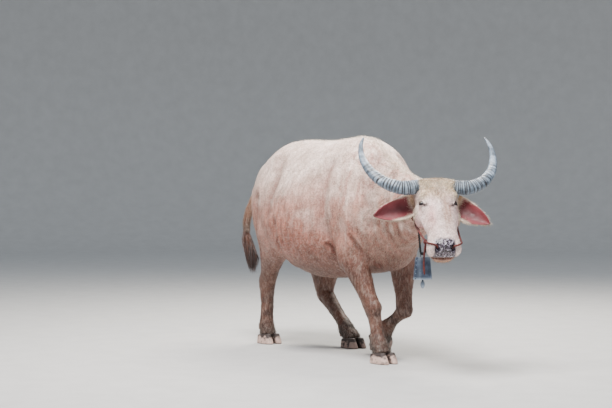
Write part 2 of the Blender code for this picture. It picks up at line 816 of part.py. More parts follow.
def finish_head(head, eyeball):
    """Adds lids, nostril rims and lips to the head, and opens the sockets, nostrils and mouth."""
    additions = []
    for _, s in SIDES:
        additions += lids(s)
    fuse(head, additions)
    for side, s in SIDES:
        centre = HEAD @ Vector((EYE.x, EYE.y * s, EYE.z))
        for radius, name in ((EYE_RADIUS + SURFACE_GAP, "socket"), (EYE_RADIUS, "eye_" + side)):
            bm = bmesh.new()
            bmesh.ops.create_uvsphere(
                bm, u_segments=12, v_segments=8, radius=radius,
                matrix=Matrix.Translation(centre) @ HEAD.to_quaternion().to_matrix().to_4x4()
                @ Matrix.Rotation(math.radians(90), 4, "X"),
            )
            ball = object_from(bm, name, eyeball)
            if name == "socket":
                boolean(head, helper(ball), "DIFFERENCE")
        bm = bmesh.new()
        local = Matrix.LocRotScale(
            Vector((NOSTRIL.x + 0.002, s * NOSTRIL.y, NOSTRIL.z)),
            Euler((math.radians(s * -35), 0, math.radians(s * 38))), Vector((0.030, 0.010, 0.0165)),
        )
        bmesh.ops.create_uvsphere(bm, u_segments=12, v_segments=8, radius=1.0, matrix=HEAD @ local)
        boolean(head, helper(object_from(bm, "nostril")), "DIFFERENCE")
    boolean(head, mouth_line(), "DIFFERENCE")


def mouth_line():
    """A thin wedge that parts the lips, from one corner of the mouth round to the other."""
    bm = bmesh.new()
    upper, lower = [], []
    half = 0.120
    for x, y, gape in (
        (MOUTH_START, -half, 0.001), (0.56, -half, 0.005), (0.56, half, 0.005),
        (MOUTH_START, half, 0.001),
    ):
        sink = 0.012 * max(0.0, (x - MOUTH_START) / 0.2)
        upper.append(HEAD @ Vector((x, y, MOUTH_HEIGHT - sink + gape)))
        lower.append(HEAD @ Vector((x, y, MOUTH_HEIGHT - sink - gape)))
    loft(bm, [lower, upper])
    wedge = object_from(bm, "mouth", shaded=False)
    bm = bmesh.new()
    local = Matrix.LocRotScale(Vector((0.36, 0, MOUTH_HEIGHT)), None, Vector((0.116, 0.044, 0.03)))
    bmesh.ops.create_uvsphere(bm, u_segments=20, v_segments=10, radius=1.0, matrix=HEAD @ local)
    boolean(wedge, helper(object_from(bm, "mouth_core")), "DIFFERENCE")
    return helper(wedge)


def claw(name, material, coronet, s, tip):
    """One hoof claw: a flat sole, a steep wall, and a toe that turns in a little."""
    sole = (
        (-0.46, 0.50), (-0.50, 0.90), (-0.30, 1.00), (0.05, 1.02), (0.34, 0.78), (0.50, 0.28),
        (0.50, -0.10), (0.36, -0.52), (0.05, -0.72), (-0.28, -0.70), (-0.46, -0.45),
    )
    levels = (
        (0.0, 1.00, 0.0), (0.10, 1.03, 0.0), (0.55, 0.92, -0.06), (1.0, 0.80, -0.13),
    )
    rings = []
    for share, size, back in levels:
        ring = []
        for u, v in sole:
            slope = 0.30 * (0.5 - u)
            z = share * CLAW_HEIGHT * (1.0 - 0.26 * slope * 2)
            ring.append(Vector((
                (u * size + back) * CLAW_LENGTH, s * v * size * CLAW_HALF_WIDTH, z
            )))
        rings.append(ring)
    bm = bmesh.new()
    loft(bm, rings)
    obj = object_from(bm, name, material)
    bevel = obj.modifiers.new("wear", "BEVEL")
    bevel.width = 0.004
    bevel.segments = 1
    bevel.limit_method = "ANGLE"
    bevel.angle_limit = math.radians(50)
    apply_modifiers(obj)
    turn = Matrix.Rotation(math.radians(s * -4), 4, "Z")
    pitch = Matrix.Rotation(math.radians(tip), 4, "Y")
    place = Matrix.Translation(coronet) @ pitch @ Matrix.Translation(
        Vector((CLAW_FORWARD, s * (CLAW_HALF_WIDTH * 0.72 + 0.0035), -0.062))
    ) @ turn
    obj.data.transform(place)
    return obj


def dewclaw(name, material, fetlock, down, s):
    """A small blunt cone at the back of the fetlock."""
    back = Vector((0, 1, 0)).cross(down)
    centre = fetlock + back * 0.044 + Vector((0, s * 0.024, 0)) + down * 0.014
    axis = (back * 0.75 + down * 0.66).normalized()
    turn = axis.to_track_quat("Z", "Y").to_matrix().to_4x4()
    bm = bmesh.new()
    bmesh.ops.create_cone(
        bm, cap_ends=True, segments=8, radius1=DEWCLAW_RADIUS, radius2=DEWCLAW_RADIUS * 0.45,
        depth=0.034, matrix=Matrix.Translation(centre) @ turn,
    )
    return object_from(bm, name, material)


def shoe_legs(nodes, material):
    """Sets two claws and two dewclaws on every foot, and trims the flesh round them."""
    for kind, legs in (("fore", FORELEGS), ("hind", HINDLEGS)):
        for side, _ in SIDES:
            joints = legs[side]
            leg = nodes[kind + "leg_" + side]
            coronet, fetlock = Vector(joints["coronet"]), Vector(joints["fetlock"])
            down = (coronet - fetlock).normalized()
            for claw_side, s in (("left", 1.0), ("right", -1.0)):
                tag = kind + "_" + side + "_" + claw_side
                hoof = claw("hoof_" + tag, material, coronet, s, joints["tip"])
                level_foot(hoof)
                boolean(leg, grown(hoof), "DIFFERENCE", "MANIFOLD")
                spur = dewclaw("dewclaw_" + tag, material, fetlock, down, s)
                boolean(leg, grown(spur), "DIFFERENCE", "MANIFOLD")
                nodes[hoof.name] = hoof
                nodes[spur.name] = spur


def level_foot(hoof):
    """Sets a hoof on the floor, with a small flat where a tipped toe touches it."""
    bm = bmesh.new()
    bm.from_mesh(hoof.data)
    lowest = min(vert.co.z for vert in bm.verts)
    sink = 0.004 if lowest > 0.001 or lowest < -0.001 else 0.0
    for vert in bm.verts:
        vert.co.z = vert.co.z - lowest - sink
    if sink:
        cut = bmesh.ops.bisect_plane(
            bm, geom=bm.verts[:] + bm.edges[:] + bm.faces[:],
            plane_co=(0, 0, 0), plane_no=(0, 0, -1), clear_outer=True,
        )
        rim = [item for item in cut["geom_cut"] if isinstance(item, bmesh.types.BMEdge)]
        bmesh.ops.contextual_create(bm, geom=rim)
    bmesh.ops.recalc_face_normals(bm, faces=bm.faces)
    bm.to_mesh(hoof.data)
    bm.free()


def tail(torso, hide, hair):
    """The bare tail, and the switch of long hair at its end."""
    bm = bmesh.new()
    sweep(bm, [(x, y, z, r, r) for x, y, z, r in TAIL], count=10, per_span=2)
    bare = object_from(bm, "tail", hide)
    boolean(bare, grown(torso), "DIFFERENCE")
    end = Vector(TAIL[-1][:3])
    rng = random.Random(11)
    start = end + (end - Vector(TAIL[-2][:3])).normalized() * GAP
    axis = (SWITCH_END - start)
    bm = bmesh.new()
    sweep(bm, [
        (*start, 0.019, 0.019), (*(start + axis * 0.35), 0.024, 0.024),
        (*(start + axis * 0.75), 0.017, 0.017), (*SWITCH_END, 0.008, 0.008),
    ], count=8, per_span=1)
    core = object_from(bm, "tail_switch", hair)
    locks = []
    for i in range(SWITCH_LOCKS):
        turn = 2 * math.pi * (i * 0.618)
        share = 0.06 + 0.80 * i / SWITCH_LOCKS
        root = start + axis * share
        outward = Vector((math.cos(turn), math.sin(turn), 0))
        length = (root.z - SWITCH_TIP_Z) * rng.uniform(0.72, 1.0)
        stations = []
        for step in range(4):
            t = step / 3
            spread = 0.006 + 0.036 * math.sin(math.pi * min(t * 1.15, 1.0)) * (1 - 0.5 * t)
            sway = Vector((rng.uniform(-1, 1), rng.uniform(-1, 1), 0)) * 0.005 * t
            place = root + outward * spread + sway + Vector((-0.004, -0.010, -1)) * (t * length)
            wide = 0.017 * (1 - t) ** 0.6 + 0.0012
            stations.append((*place, 0.0055 * (1 - t) + 0.001, wide))
        bm = bmesh.new()
        sweep(bm, stations, count=5, per_span=1, across=outward.cross(Vector((0, 0, 1))))
        locks.append(object_from(bm, "lock"))
    fuse(core, locks)
    boolean(core, grown(bare, GAP), "DIFFERENCE")


def skin_tree(whole):
    """A search tree over the skin before it is parted."""
    points = [vert.co.copy() for vert in whole.data.vertices]
    return BVHTree.FromPolygons(points, [list(face.vertices) for face in whole.data.polygons])


def tube(name, points, radius, material, sides=8, closed=False):
    """A round cord through a list of points."""
    curve = bpy.data.curves.new(name, "CURVE")
    curve.dimensions = "3D"
    curve.bevel_depth = radius
    curve.bevel_resolution = (sides - 4) // 2
    curve.use_fill_caps = not closed
    line = curve.splines.new("POLY")
    line.points.add(len(points) - 1)
    for spot, point in zip(line.points, points):
        spot.co = (*point, 1.0)
    line.use_cyclic_u = closed
    maker = bpy.data.objects.new(name + "_line", curve)
    model.objects.link(maker)
    mesh = evaluated_mesh(maker)
    bpy.data.objects.remove(maker)
    bm = bmesh.new()
    bm.from_mesh(mesh)
    return object_from(bm, name, material)


def laid_on(tree, point, lift):
    """The place that lies off the skin by lift, nearest to a point."""
    spot, normal, _, _ = tree.find_nearest(point)
    return spot + normal * lift


def eased(points, tree, lift):
    """A route over the skin with its kinks taken out, kept clear of the skin."""
    for _ in range(4):
        middles = [
            (a + b * 2 + c) / 4 for a, b, c in zip(points, points[1:], points[2:])
        ]
        points = [points[0], *middles, points[-1]]
        for i, point in enumerate(points):
            spot, normal, _, _ = tree.find_nearest(point)
            height = (point - spot).dot(normal)
            if height < lift:
                points[i] = point + normal * (lift - height)
    return points


def distance_to(line, point):
    """The distance from a point to the nearest stretch of a line of points."""
    nearest = math.inf
    for a, b in zip(line, line[1:]):
        share = min(1.0, max(0.0, (point - a).dot(b - a) / (b - a).length_squared))
        nearest = min(nearest, (a.lerp(b, share) - point).length)
    return nearest


def humped(points, tree, line):
    """Lifts a route off the skin where it passes over another cord's line."""
    raised = []
    for point in points:
        _, normal, _, _ = tree.find_nearest(point)
        near = min(1.0, distance_to(line, point) / ROPE_HUMP_REACH)
        raised.append(point + normal * (ROPE_HUMP * (0.5 + 0.5 * math.cos(math.pi * near))))
    return raised


def nose_rope(tree, band_line, material):
    """A thin rope through the nose that runs straight to both cheeks and over the nape,
    with its knot."""
    right = [(x, -y, z) for x, y, z in ROPE_PATH]
    left = [(x, y, z) for x, y, z in reversed(ROPE_PATH[:-1])]
    lift = ROPE_RADIUS + ROPE_LIFT
    route = [laid_on(tree, HEAD @ Vector(point), lift) for point in right + left]
    points = eased([Vector(point) for point in spline(route, 4)], tree, lift)
    points = humped(points, tree, band_line)
    for end, spot in ((-1, 0), (1, -1)):
        nostril = HEAD @ Vector((NOSTRIL.x - 0.004, end * NOSTRIL.y, NOSTRIL.z - 0.004))
        points[spot] = nostril
    rope = tube("nose_rope", points, ROPE_RADIUS, material, sides=6)
    x, y, z = ROPE_PATH[2]
    knot = laid_on(tree, HEAD @ Vector((x, -y, z)), ROPE_KNOT * 0.9)
    bm = bmesh.new()
    bmesh.ops.create_uvsphere(
        bm, u_segments=8, v_segments=6, radius=ROPE_KNOT, matrix=Matrix.Translation(knot)
    )
    return fuse(rope, [object_from(bm, "knot")]), knot


def rope_end(knot, material):
    """The short free end that hangs from the knot, swaying a little outwards."""
    away = HEAD.to_3x3() @ Vector((0, -1, 0))
    away = Vector((away.x, away.y, 0)).normalized()
    start = knot + Vector((0, 0, -ROPE_KNOT - GAP))
    points = []
    for step in range(ROPE_END_POINTS):
        t = step / (ROPE_END_POINTS - 1)
        sway = 0.010 * math.sin(math.pi * 0.8 * t)
        points.append(start + away * sway - Vector((0, 0, t * ROPE_END_LENGTH)))
    return tube("nose_rope_end", points, ROPE_RADIUS, material)


def collar_line(tree):
    """A cord round the neck behind the jaw, drawn down to the bell's loop by its weight."""
    axis = (COLLAR_SIDE - COLLAR_NAPE).normalized()
    centre = COLLAR_NAPE.lerp(COLLAR_SIDE, 0.75)
    points = []
    for step in range(-8, 9):
        turn = math.radians(step * 15.5)
        ray = -axis * math.cos(turn) + Vector((0, 1, 0)) * math.sin(turn)
        spot, normal, _, _ = tree.ray_cast(centre + ray * 0.5, -ray)
        points.append(spot + normal * (COLLAR_RADIUS * 0.8))
    low = BELL_TOP + Vector((0, 0, BELL_LOOP[1] - BELL_WIRE - COLLAR_RADIUS - GAP * 2))
    first, last = points[0], points[-1]
    for out, rise in ((COLLAR_RADIUS * 2.2, COLLAR_RADIUS * 1.4), (COLLAR_RADIUS, 0.0)):
        turn_in = low + Vector((0, out, rise))
        if rise:
            points += [last.lerp(turn_in, share) for share in (0.35, 0.7)]
        points.append(turn_in)
    for out, rise in ((COLLAR_RADIUS, 0.0), (COLLAR_RADIUS * 2.2, COLLAR_RADIUS * 1.4)):
        turn_in = low + Vector((0, -out, rise))
        points.append(turn_in)
        if rise:
            points += [first.lerp(turn_in, share) for share in (0.7, 0.35)]
    return points


def bell(material):
    """A cowbell of folded sheet: flattened, wider at the open mouth, with a loop on its crown."""
    rings = []
    for drop, grow in ((0.0, 0.0), (0.012, 0.35), (0.5, 0.62), (1.0, 1.0)):
        half = [t + (m - t) * grow for t, m in zip(BELL_TOP_HALF, BELL_MOUTH_HALF)]
        rings.append((drop, half))
    bm = bmesh.new()
    levels = []
    for drop, half in rings:
        level = []
        for k in range(BELL_SIDES):
            a, b = rounded(2 * math.pi * k / BELL_SIDES, 4.0)
            level.append(bm.verts.new(
                BELL_TOP + Vector((half[1] * a, half[0] * b, -drop * BELL_HEIGHT))
            ))
        levels.append(level)
    for low, high in zip(levels, levels[1:]):
        for k in range(BELL_SIDES):
            j = (k + 1) % BELL_SIDES
            bm.faces.new((low[k], low[j], high[j], high[k]))
    bm.faces.new(levels[0])
    cup = object_from(bm, "bell", material)
    wall = cup.modifiers.new("wall", "SOLIDIFY")
    wall.thickness = BELL_WALL
    wall.offset = -1.0
    apply_modifiers(cup)
    arch = []
    for step in range(11):
        turn = math.radians(-110 + 22 * step)
        arch.append(BELL_TOP + Vector((
            BELL_LOOP[0] * math.sin(turn), 0, BELL_LOOP[1] * math.cos(turn)
        )))
    loop = tube("bell_loop", arch, BELL_WIRE, material, sides=6)
    return fuse(cup, [loop])


def clapper(material):
    """A rod that hangs inside the bell, with a drop-shaped weight that shows below the mouth."""
    top = BELL_TOP - Vector((0, 0, BELL_WALL + GAP))
    stations = [(0.0, CLAPPER_ROD), (CLAPPER_DROP * 0.70, CLAPPER_ROD)]
    for step in range(1, 7):
        turn = math.pi * step / 7
        drop = CLAPPER_DROP - CLAPPER_HALF[1] * math.cos(turn)
        stations.append((drop, max(CLAPPER_ROD, CLAPPER_HALF[0] * math.sin(turn))))
    bm = bmesh.new()
    sweep(bm, [(top.x, top.y, top.z - drop, r, r) for drop, r in stations], count=8, per_span=1)
    return object_from(bm, "clapper", material)


def stand_on_origin():
    """Moves everything so that the middle of its footprint is the origin."""
    pieces = [obj for obj in model.objects if obj.name != "nose_rope_end"]
    corners = [vert.co for obj in pieces for vert in obj.data.vertices]
    low = [min(point[axis] for point in corners) for axis in range(3)]
    high = [max(point[axis] for point in corners) for axis in range(3)]
    shift = Vector((-(low[0] + high[0]) / 2, -(low[1] + high[1]) / 2, -low[2]))
    for obj in model.objects:
        obj.data.transform(Matrix.Translation(shift))
    return shift


clear_scene()
hide = paint("pale hide", HIDE, 0.62)
muddy = paint("muddy hide", MUDDY_HIDE, 0.7)
horn_stuff = paint("horn", HORN, 0.5)
claw_stuff = paint("claw", CLAW, 0.6)
hair = paint("switch hair", SWITCH_HAIR, 0.6)
eyeball = paint("eyeball", EYEBALL, 0.08)
strap_stuff = paint("collar cord", STRAP, 0.8)
rope_stuff = paint("nose rope", ROPE, 0.85)
tin = paint("bell sheet", TIN, 0.45, 0.8)
body = flesh()
skin = skin_tree(body)
nodes = part_flesh(body, hide, muddy)
finish_head(nodes["head"], eyeball)
for side, s in SIDES:
    for make, stuff in ((horn, horn_stuff), (ear, hide)):
        piece = make(side, s, stuff)
        boolean(piece, grown(nodes["head"]), "DIFFERENCE")
        nodes[piece.name] = piece
shoe_legs(nodes, claw_stuff)
tail(nodes["torso"], hide, hair)
band_line = collar_line(skin)
band = tube("collar", band_line, COLLAR_RADIUS, strap_stuff, sides=6, closed=True)
rope, knot = nose_rope(skin, band_line, rope_stuff)
for piece in (rope, band):
    for name in ("head", "neck"):
        boolean(piece, grown(nodes[name]), "DIFFERENCE")
rope_end(knot, rope_stuff)
bell(tin)
clapper(tin)
FRAME_SHIFT = stand_on_origin()
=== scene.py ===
# Pale swamp buffalo in mid stride, life size: the skin, coat, horns, hooves and tack that show.
import math

import bmesh
import bpy
import numpy as np
from mathutils import Matrix, Vector
from mathutils.bvhtree import BVHTree


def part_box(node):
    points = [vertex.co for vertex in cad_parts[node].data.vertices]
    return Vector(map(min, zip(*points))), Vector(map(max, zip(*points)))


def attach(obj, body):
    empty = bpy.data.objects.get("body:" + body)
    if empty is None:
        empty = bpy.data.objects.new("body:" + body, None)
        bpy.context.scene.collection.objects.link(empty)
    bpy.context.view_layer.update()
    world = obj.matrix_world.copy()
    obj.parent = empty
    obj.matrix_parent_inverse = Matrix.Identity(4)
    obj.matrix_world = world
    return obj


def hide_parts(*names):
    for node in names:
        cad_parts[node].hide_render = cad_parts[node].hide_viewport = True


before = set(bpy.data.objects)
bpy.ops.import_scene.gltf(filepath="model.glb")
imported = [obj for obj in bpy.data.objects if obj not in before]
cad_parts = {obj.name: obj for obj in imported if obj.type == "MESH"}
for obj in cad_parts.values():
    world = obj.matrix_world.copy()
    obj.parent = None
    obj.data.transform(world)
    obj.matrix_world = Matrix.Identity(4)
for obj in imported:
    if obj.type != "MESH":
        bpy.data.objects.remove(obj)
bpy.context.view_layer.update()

# The head's own frame: x down the face to the nose, y to its left, z out of the face
headPose = {
    "yaw": -28.0,
    "pitch": 46.5,
    "poll": (1.161, -0.093, 1.060),   # in the animal's frame, before it stands on its origin
    "eye": (0.160, 0.0845, -0.034),
    "eyeRadius": 0.0215,
    "nostril": (0.474, 0.041, -0.032),
}
headTurn = (
    Matrix.Rotation(math.radians(headPose["yaw"]), 4, "Z")
    @ Matrix.Rotation(math.radians(headPose["pitch"]), 4, "Y")
)
eyeLow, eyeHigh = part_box("eye_left")
pollPlace = (eyeLow + eyeHigh) / 2 - headTurn @ Vector(headPose["eye"])
head = Matrix.Translation(pollPlace) @ headTurn
headBack = np.array(head.inverted())
headOut = np.array(headTurn)[:3, :3]
shift = pollPlace - Vector(headPose["poll"])
sides = (("left", 1.0), ("right", -1.0))
dice = np.random.default_rng(21)

# Joints of each leg in the stride, in the animal's frame
legJoints = {
    "foreRight": ((0.466, -0.180, 0.630), (0.645, -0.152, 0.312), (0.694, -0.148, 0.122)),
    "foreLeft": ((0.465, 0.195, 0.620), (0.524, 0.164, 0.276), (0.378, 0.150, 0.172)),
    "hindRight": ((-0.330, -0.205, 0.700), (-0.530, -0.153, 0.400), (-0.552, -0.146, 0.128)),
    "hindLeft": ((-0.270, 0.205, 0.680), (-0.340, 0.165, 0.330), (-0.085, 0.160, 0.122)),
}

cameraSettings = {
    "place": (7.61, -5.09, 1.05),   # in the animal's frame
    "forward": (-0.84, 0.54),
    "horizonRow": 181,
    "focalPixels": 1470,
    "frame": (612, 408),
}


def makeCamera():
    width, height = cameraSettings["frame"]
    focal = cameraSettings["focalPixels"]
    camera = bpy.data.cameras.new("viewpoint")
    camera.sensor_width = 36
    camera.lens = focal / width * camera.sensor_width
    viewer = bpy.data.objects.new("viewpoint", camera)
    down = math.atan2(height / 2 - cameraSettings["horizonRow"], focal)
    level = Vector((*cameraSettings["forward"], 0)).normalized()
    forward = level * math.cos(down) - Vector((0, 0, 1)) * math.sin(down)
    viewer.location = Vector(cameraSettings["place"]) + shift
    viewer.rotation_euler = forward.to_track_quat("-Z", "Y").to_euler()
    bpy.context.scene.collection.objects.link(viewer)
    bpy.context.scene.camera = viewer


def addObject(mesh, name, materials=()):
    for material in materials:
        mesh.materials.append(material)
    piece = bpy.data.objects.new(name, mesh)
    bpy.context.scene.collection.objects.link(piece)
    return piece


def makeObject(bm, name, materials=(), smooth=True):
    mesh = bpy.data.meshes.new(name)
    bm.to_mesh(mesh)
    bm.free()
    if smooth:
        mesh.shade_smooth()
    return addObject(mesh, name, materials)


def applyModifiers(piece):
    bpy.context.view_layer.update()
    graph = bpy.context.evaluated_depsgraph_get()
    mesh = bpy.data.meshes.new_from_object(piece.evaluated_get(graph))
    piece.modifiers.clear()
    piece.data = mesh
    return piece


def settle(piece, slotName, *nodes):
    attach(piece, "root")
    if nodes:
        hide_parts(*nodes)
    return piece


def pointsOf(mesh):
    points = np.empty(len(mesh.vertices) * 3, np.float32)
    mesh.vertices.foreach_get("co", points)
    return points.reshape(-1, 3).astype(float)


def normalsOf(mesh):
    normals = np.empty(len(mesh.vertices) * 3, np.float32)
    mesh.vertices.foreach_get("normal", normals)
    return normals.reshape(-1, 3).astype(float)


def setPoints(mesh, points):
    mesh.vertices.foreach_set("co", points.astype(np.float32).ravel())
    mesh.update()


def paintPoints(mesh, name, colours):
    layer = mesh.color_attributes.new(name, "FLOAT_COLOR", "POINT")
    values = np.ones((len(mesh.vertices), 4), np.float32)
    values[:, :3] = colours
    layer.data.foreach_set("color", values.ravel())


def inHead(points):
    return points @ headBack[:3, :3].T + headBack[:3, 3]


def fromHead(point, side=1.0):
    return head @ Vector((point[0], point[1] * side, point[2]))


def unit(rows):
    return rows / np.maximum(np.linalg.norm(rows, axis=-1, keepdims=True), 1e-9)


# Smooth noise on rows of points, from 0 to 1, the same on each run
lattice = np.random.default_rng(7).random((32, 32, 32))


def cloud(points, size, seed=0):
    spots = points / size + seed * 7.31
    base = np.floor(spots).astype(int)
    t = spots - base
    t = t * t * (3 - 2 * t)
    total = np.zeros(len(points))
    for corner in np.ndindex(2, 2, 2):
        weight = np.prod(np.where(corner, t, 1 - t), axis=1)
        cell = (base + corner) % 32
        total += weight * lattice[cell[:, 0], cell[:, 1], cell[:, 2]]
    return total


def ramp(values, low, high):
    t = np.clip((values - low) / (high - low), 0.0, 1.0)
    return t * t * (3 - 2 * t)


def near(points, centre, radii):
    gap = (points - np.array(centre)) / np.array(radii)
    return np.exp(-(gap * gap).sum(1))


def lineDistance(points, line):
    nearest = np.full(len(points), 9.0)
    for a, b in zip(np.array(line[:-1]), np.array(line[1:])):
        along = b - a
        share = np.clip((points - a) @ along / (along @ along), 0, 1)
        nearest = np.minimum(nearest, np.linalg.norm(points - a - share[:, None] * along, axis=1))
    return nearest


def curveThrough(rows, perSpan):
    rows = [list(row) for row in rows]
    found = []
    for i in range(len(rows) - 1):
        around = rows[max(i - 1, 0)], rows[i], rows[i + 1], rows[min(i + 2, len(rows) - 1)]
        for step in range(perSpan):
            t = step / perSpan
            found.append([
                0.5 * (2 * b + (c - a) * t + (2 * a - 5 * b + 4 * c - d) * t * t
                       + (3 * b - a - 3 * c + d) * t ** 3)
                for a, b, c, d in zip(*around)
            ])
    found.append(rows[-1])
    return found


# Materials
def newMaterial(name, roughness=0.5, metallic=0.0):
    material = bpy.data.materials.new(name)
    material.use_nodes = True
    shader = material.node_tree.nodes["Principled BSDF"]
    shader.inputs["Roughness"].default_value = roughness
    shader.inputs["Metallic"].default_value = metallic
    return material, material.node_tree, shader


def addNode(tree, kind, settings=None, **sockets):
    node = tree.nodes.new(kind)
    for key, value in (settings or {}).items():
        setattr(node, key, value)
    for key, value in sockets.items():
        node.inputs[key.replace("_", " ")].default_value = value
    return node


def placeOn(tree, stretch=None):
    source = addNode(tree, "ShaderNodeTexCoord").outputs["Object"]
    if stretch:
        mapping = addNode(tree, "ShaderNodeMapping", Scale=stretch)
        tree.links.new(source, mapping.inputs["Vector"])
        source = mapping.outputs["Vector"]
    return source


def noiseOn(tree, scale, detail=4.0, roughness=0.55, stretch=None):
    noise = addNode(tree, "ShaderNodeTexNoise", Scale=scale, Detail=detail, Roughness=roughness)
    tree.links.new(placeOn(tree, stretch), noise.inputs["Vector"])
    return noise.outputs["Fac"]


def cellsOn(tree, scale, feature="DISTANCE_TO_EDGE", stretch=None):
    cells = addNode(tree, "ShaderNodeTexVoronoi", {"feature": feature}, Scale=scale)
    tree.links.new(placeOn(tree, stretch), cells.inputs["Vector"])
    return cells.outputs["Distance"]


def banded(tree, source, *stops):
    band = addNode(tree, "ShaderNodeValToRGB")
    ramped = band.color_ramp
    while len(ramped.elements) < len(stops):
        ramped.elements.new(0.5)
    for element, (place, colour) in zip(ramped.elements, stops):
        element.position = place
        element.color = (*colour, 1.0) if isinstance(colour, tuple) else (colour, colour, colour, 1.0)
    tree.links.new(source, band.inputs["Fac"])
    return band.outputs["Color"]


def blended(tree, factor, first, second, mode="MIX"):
    mix = addNode(tree, "ShaderNodeMix", {"data_type": "RGBA", "blend_type": mode})
    for value, socket in ((factor, mix.inputs[0]), (first, mix.inputs[6]), (second, mix.inputs[7])):
        if isinstance(value, (int, float)):
            socket.default_value = value
        elif isinstance(value, tuple):
            socket.default_value = (*value, 1.0)
        else:
            tree.links.new(value, socket)
    return mix.outputs[2]


def attributeOn(tree, name):
    return addNode(tree, "ShaderNodeAttribute", {"attribute_name": name}).outputs["Color"]


def bumped(tree, shader, *layers):
    previous = None
    for height, strength, distance in layers:
        bump = addNode(tree, "ShaderNodeBump", Strength=strength, Distance=distance)
        tree.links.new(height, bump.inputs["Height"])
        if previous:
            tree.links.new(previous, bump.inputs["Normal"])
        previous = bump.outputs["Normal"]
    tree.links.new(previous, shader.inputs["Normal"])


def linear(red, green, blue):
    shares = [value / 255 for value in (red, green, blue)]
    return tuple(s / 12.92 if s <= 0.04045 else ((s + 0.055) / 1.055) ** 2.4 for s in shares)


# Ears: where each one grows, and how far it reaches, in the head's frame
earSettings = {
    "root": (0.080, 0.104, -0.098),
    "length": 0.266,
    "halfWidth": 0.066,
    "reach": {"left": (0.75, 0.66, 0.11), "right": (0.36, 0.93, -0.06)},
    "opening": (0.30, -0.15, 0.94),
}


def earFrame(side, s):
    out = np.array(earSettings["reach"][side])
    out /= np.linalg.norm(out)
    opening = np.array(earSettings["opening"])
    opening -= out * (opening @ out)
    opening /= np.linalg.norm(opening)
    across = np.cross(opening, out)
    mirror = np.array((1, s, 1))
    return np.array(earSettings["root"]) * mirror, out * mirror, opening * mirror, across * mirror


# How far along its ear a point is, how far across it, and how much it faces the ear's opening
def earPlaces(local, localNormals):
    along = np.full(len(local), -1.0)
    over = np.zeros(len(local))
    facing = np.zeros(len(local))
    for side, s in sides:
        root, out, opening, across = earFrame(side, s)
        away = local - root
        share = away @ out / earSettings["length"]
        width = away @ across / earSettings["halfWidth"]
        depth = away @ opening
        mine = (share > 0.10) & (share < 1.1) & (np.abs(width) < 1.35) & (np.abs(depth) < 0.075)
        mine &= local[:, 1] * s > 0.108
        along[mine], over[mine] = share[mine], width[mine]
        facing[mine] = (localNormals @ opening)[mine]
    return along, over, facing


# Markings: one rule gives the colour of the skin and of each tuft that grows there
markings = {
    "base": linear(198, 150, 134),
    # pale back, laid partly as painted top light
    "back": linear(240, 222, 212),
    "flank": linear(172, 104, 88),
    # dark belly, laid partly as painted shade
    "belly": linear(96, 58, 46),
    "neck": linear(196, 152, 134),
    "shoulder": linear(162, 106, 88),
    "leg": linear(102, 68, 54),
    "mud": linear(46, 32, 28),
    "face": linear(236, 216, 212),
    "forehead": linear(214, 190, 150),
    "cheek": linear(214, 156, 154),
    "bridge": linear(156, 112, 80),
    "pad": linear(70, 56, 70),
    # near black: painted shade in the nostrils
    "nostril": linear(14, 9, 11),
    # painted shade, laid darker and redder along the skin's folds
    "fold": linear(128, 76, 64),
    "lip": linear(108, 62, 46),
    "chin": linear(184, 132, 88),
    "earInside": linear(124, 50, 56),
    # painted shade deep in the ear's hollow
    "earHollowShade": linear(66, 14, 22),
    "earRim": linear(240, 222, 202),
    "lidMargin": linear(52, 34, 40),
    "lid": linear(240, 228, 224),
    "tail": linear(150, 104, 80),
    "tailEnd": linear(72, 42, 34),
}


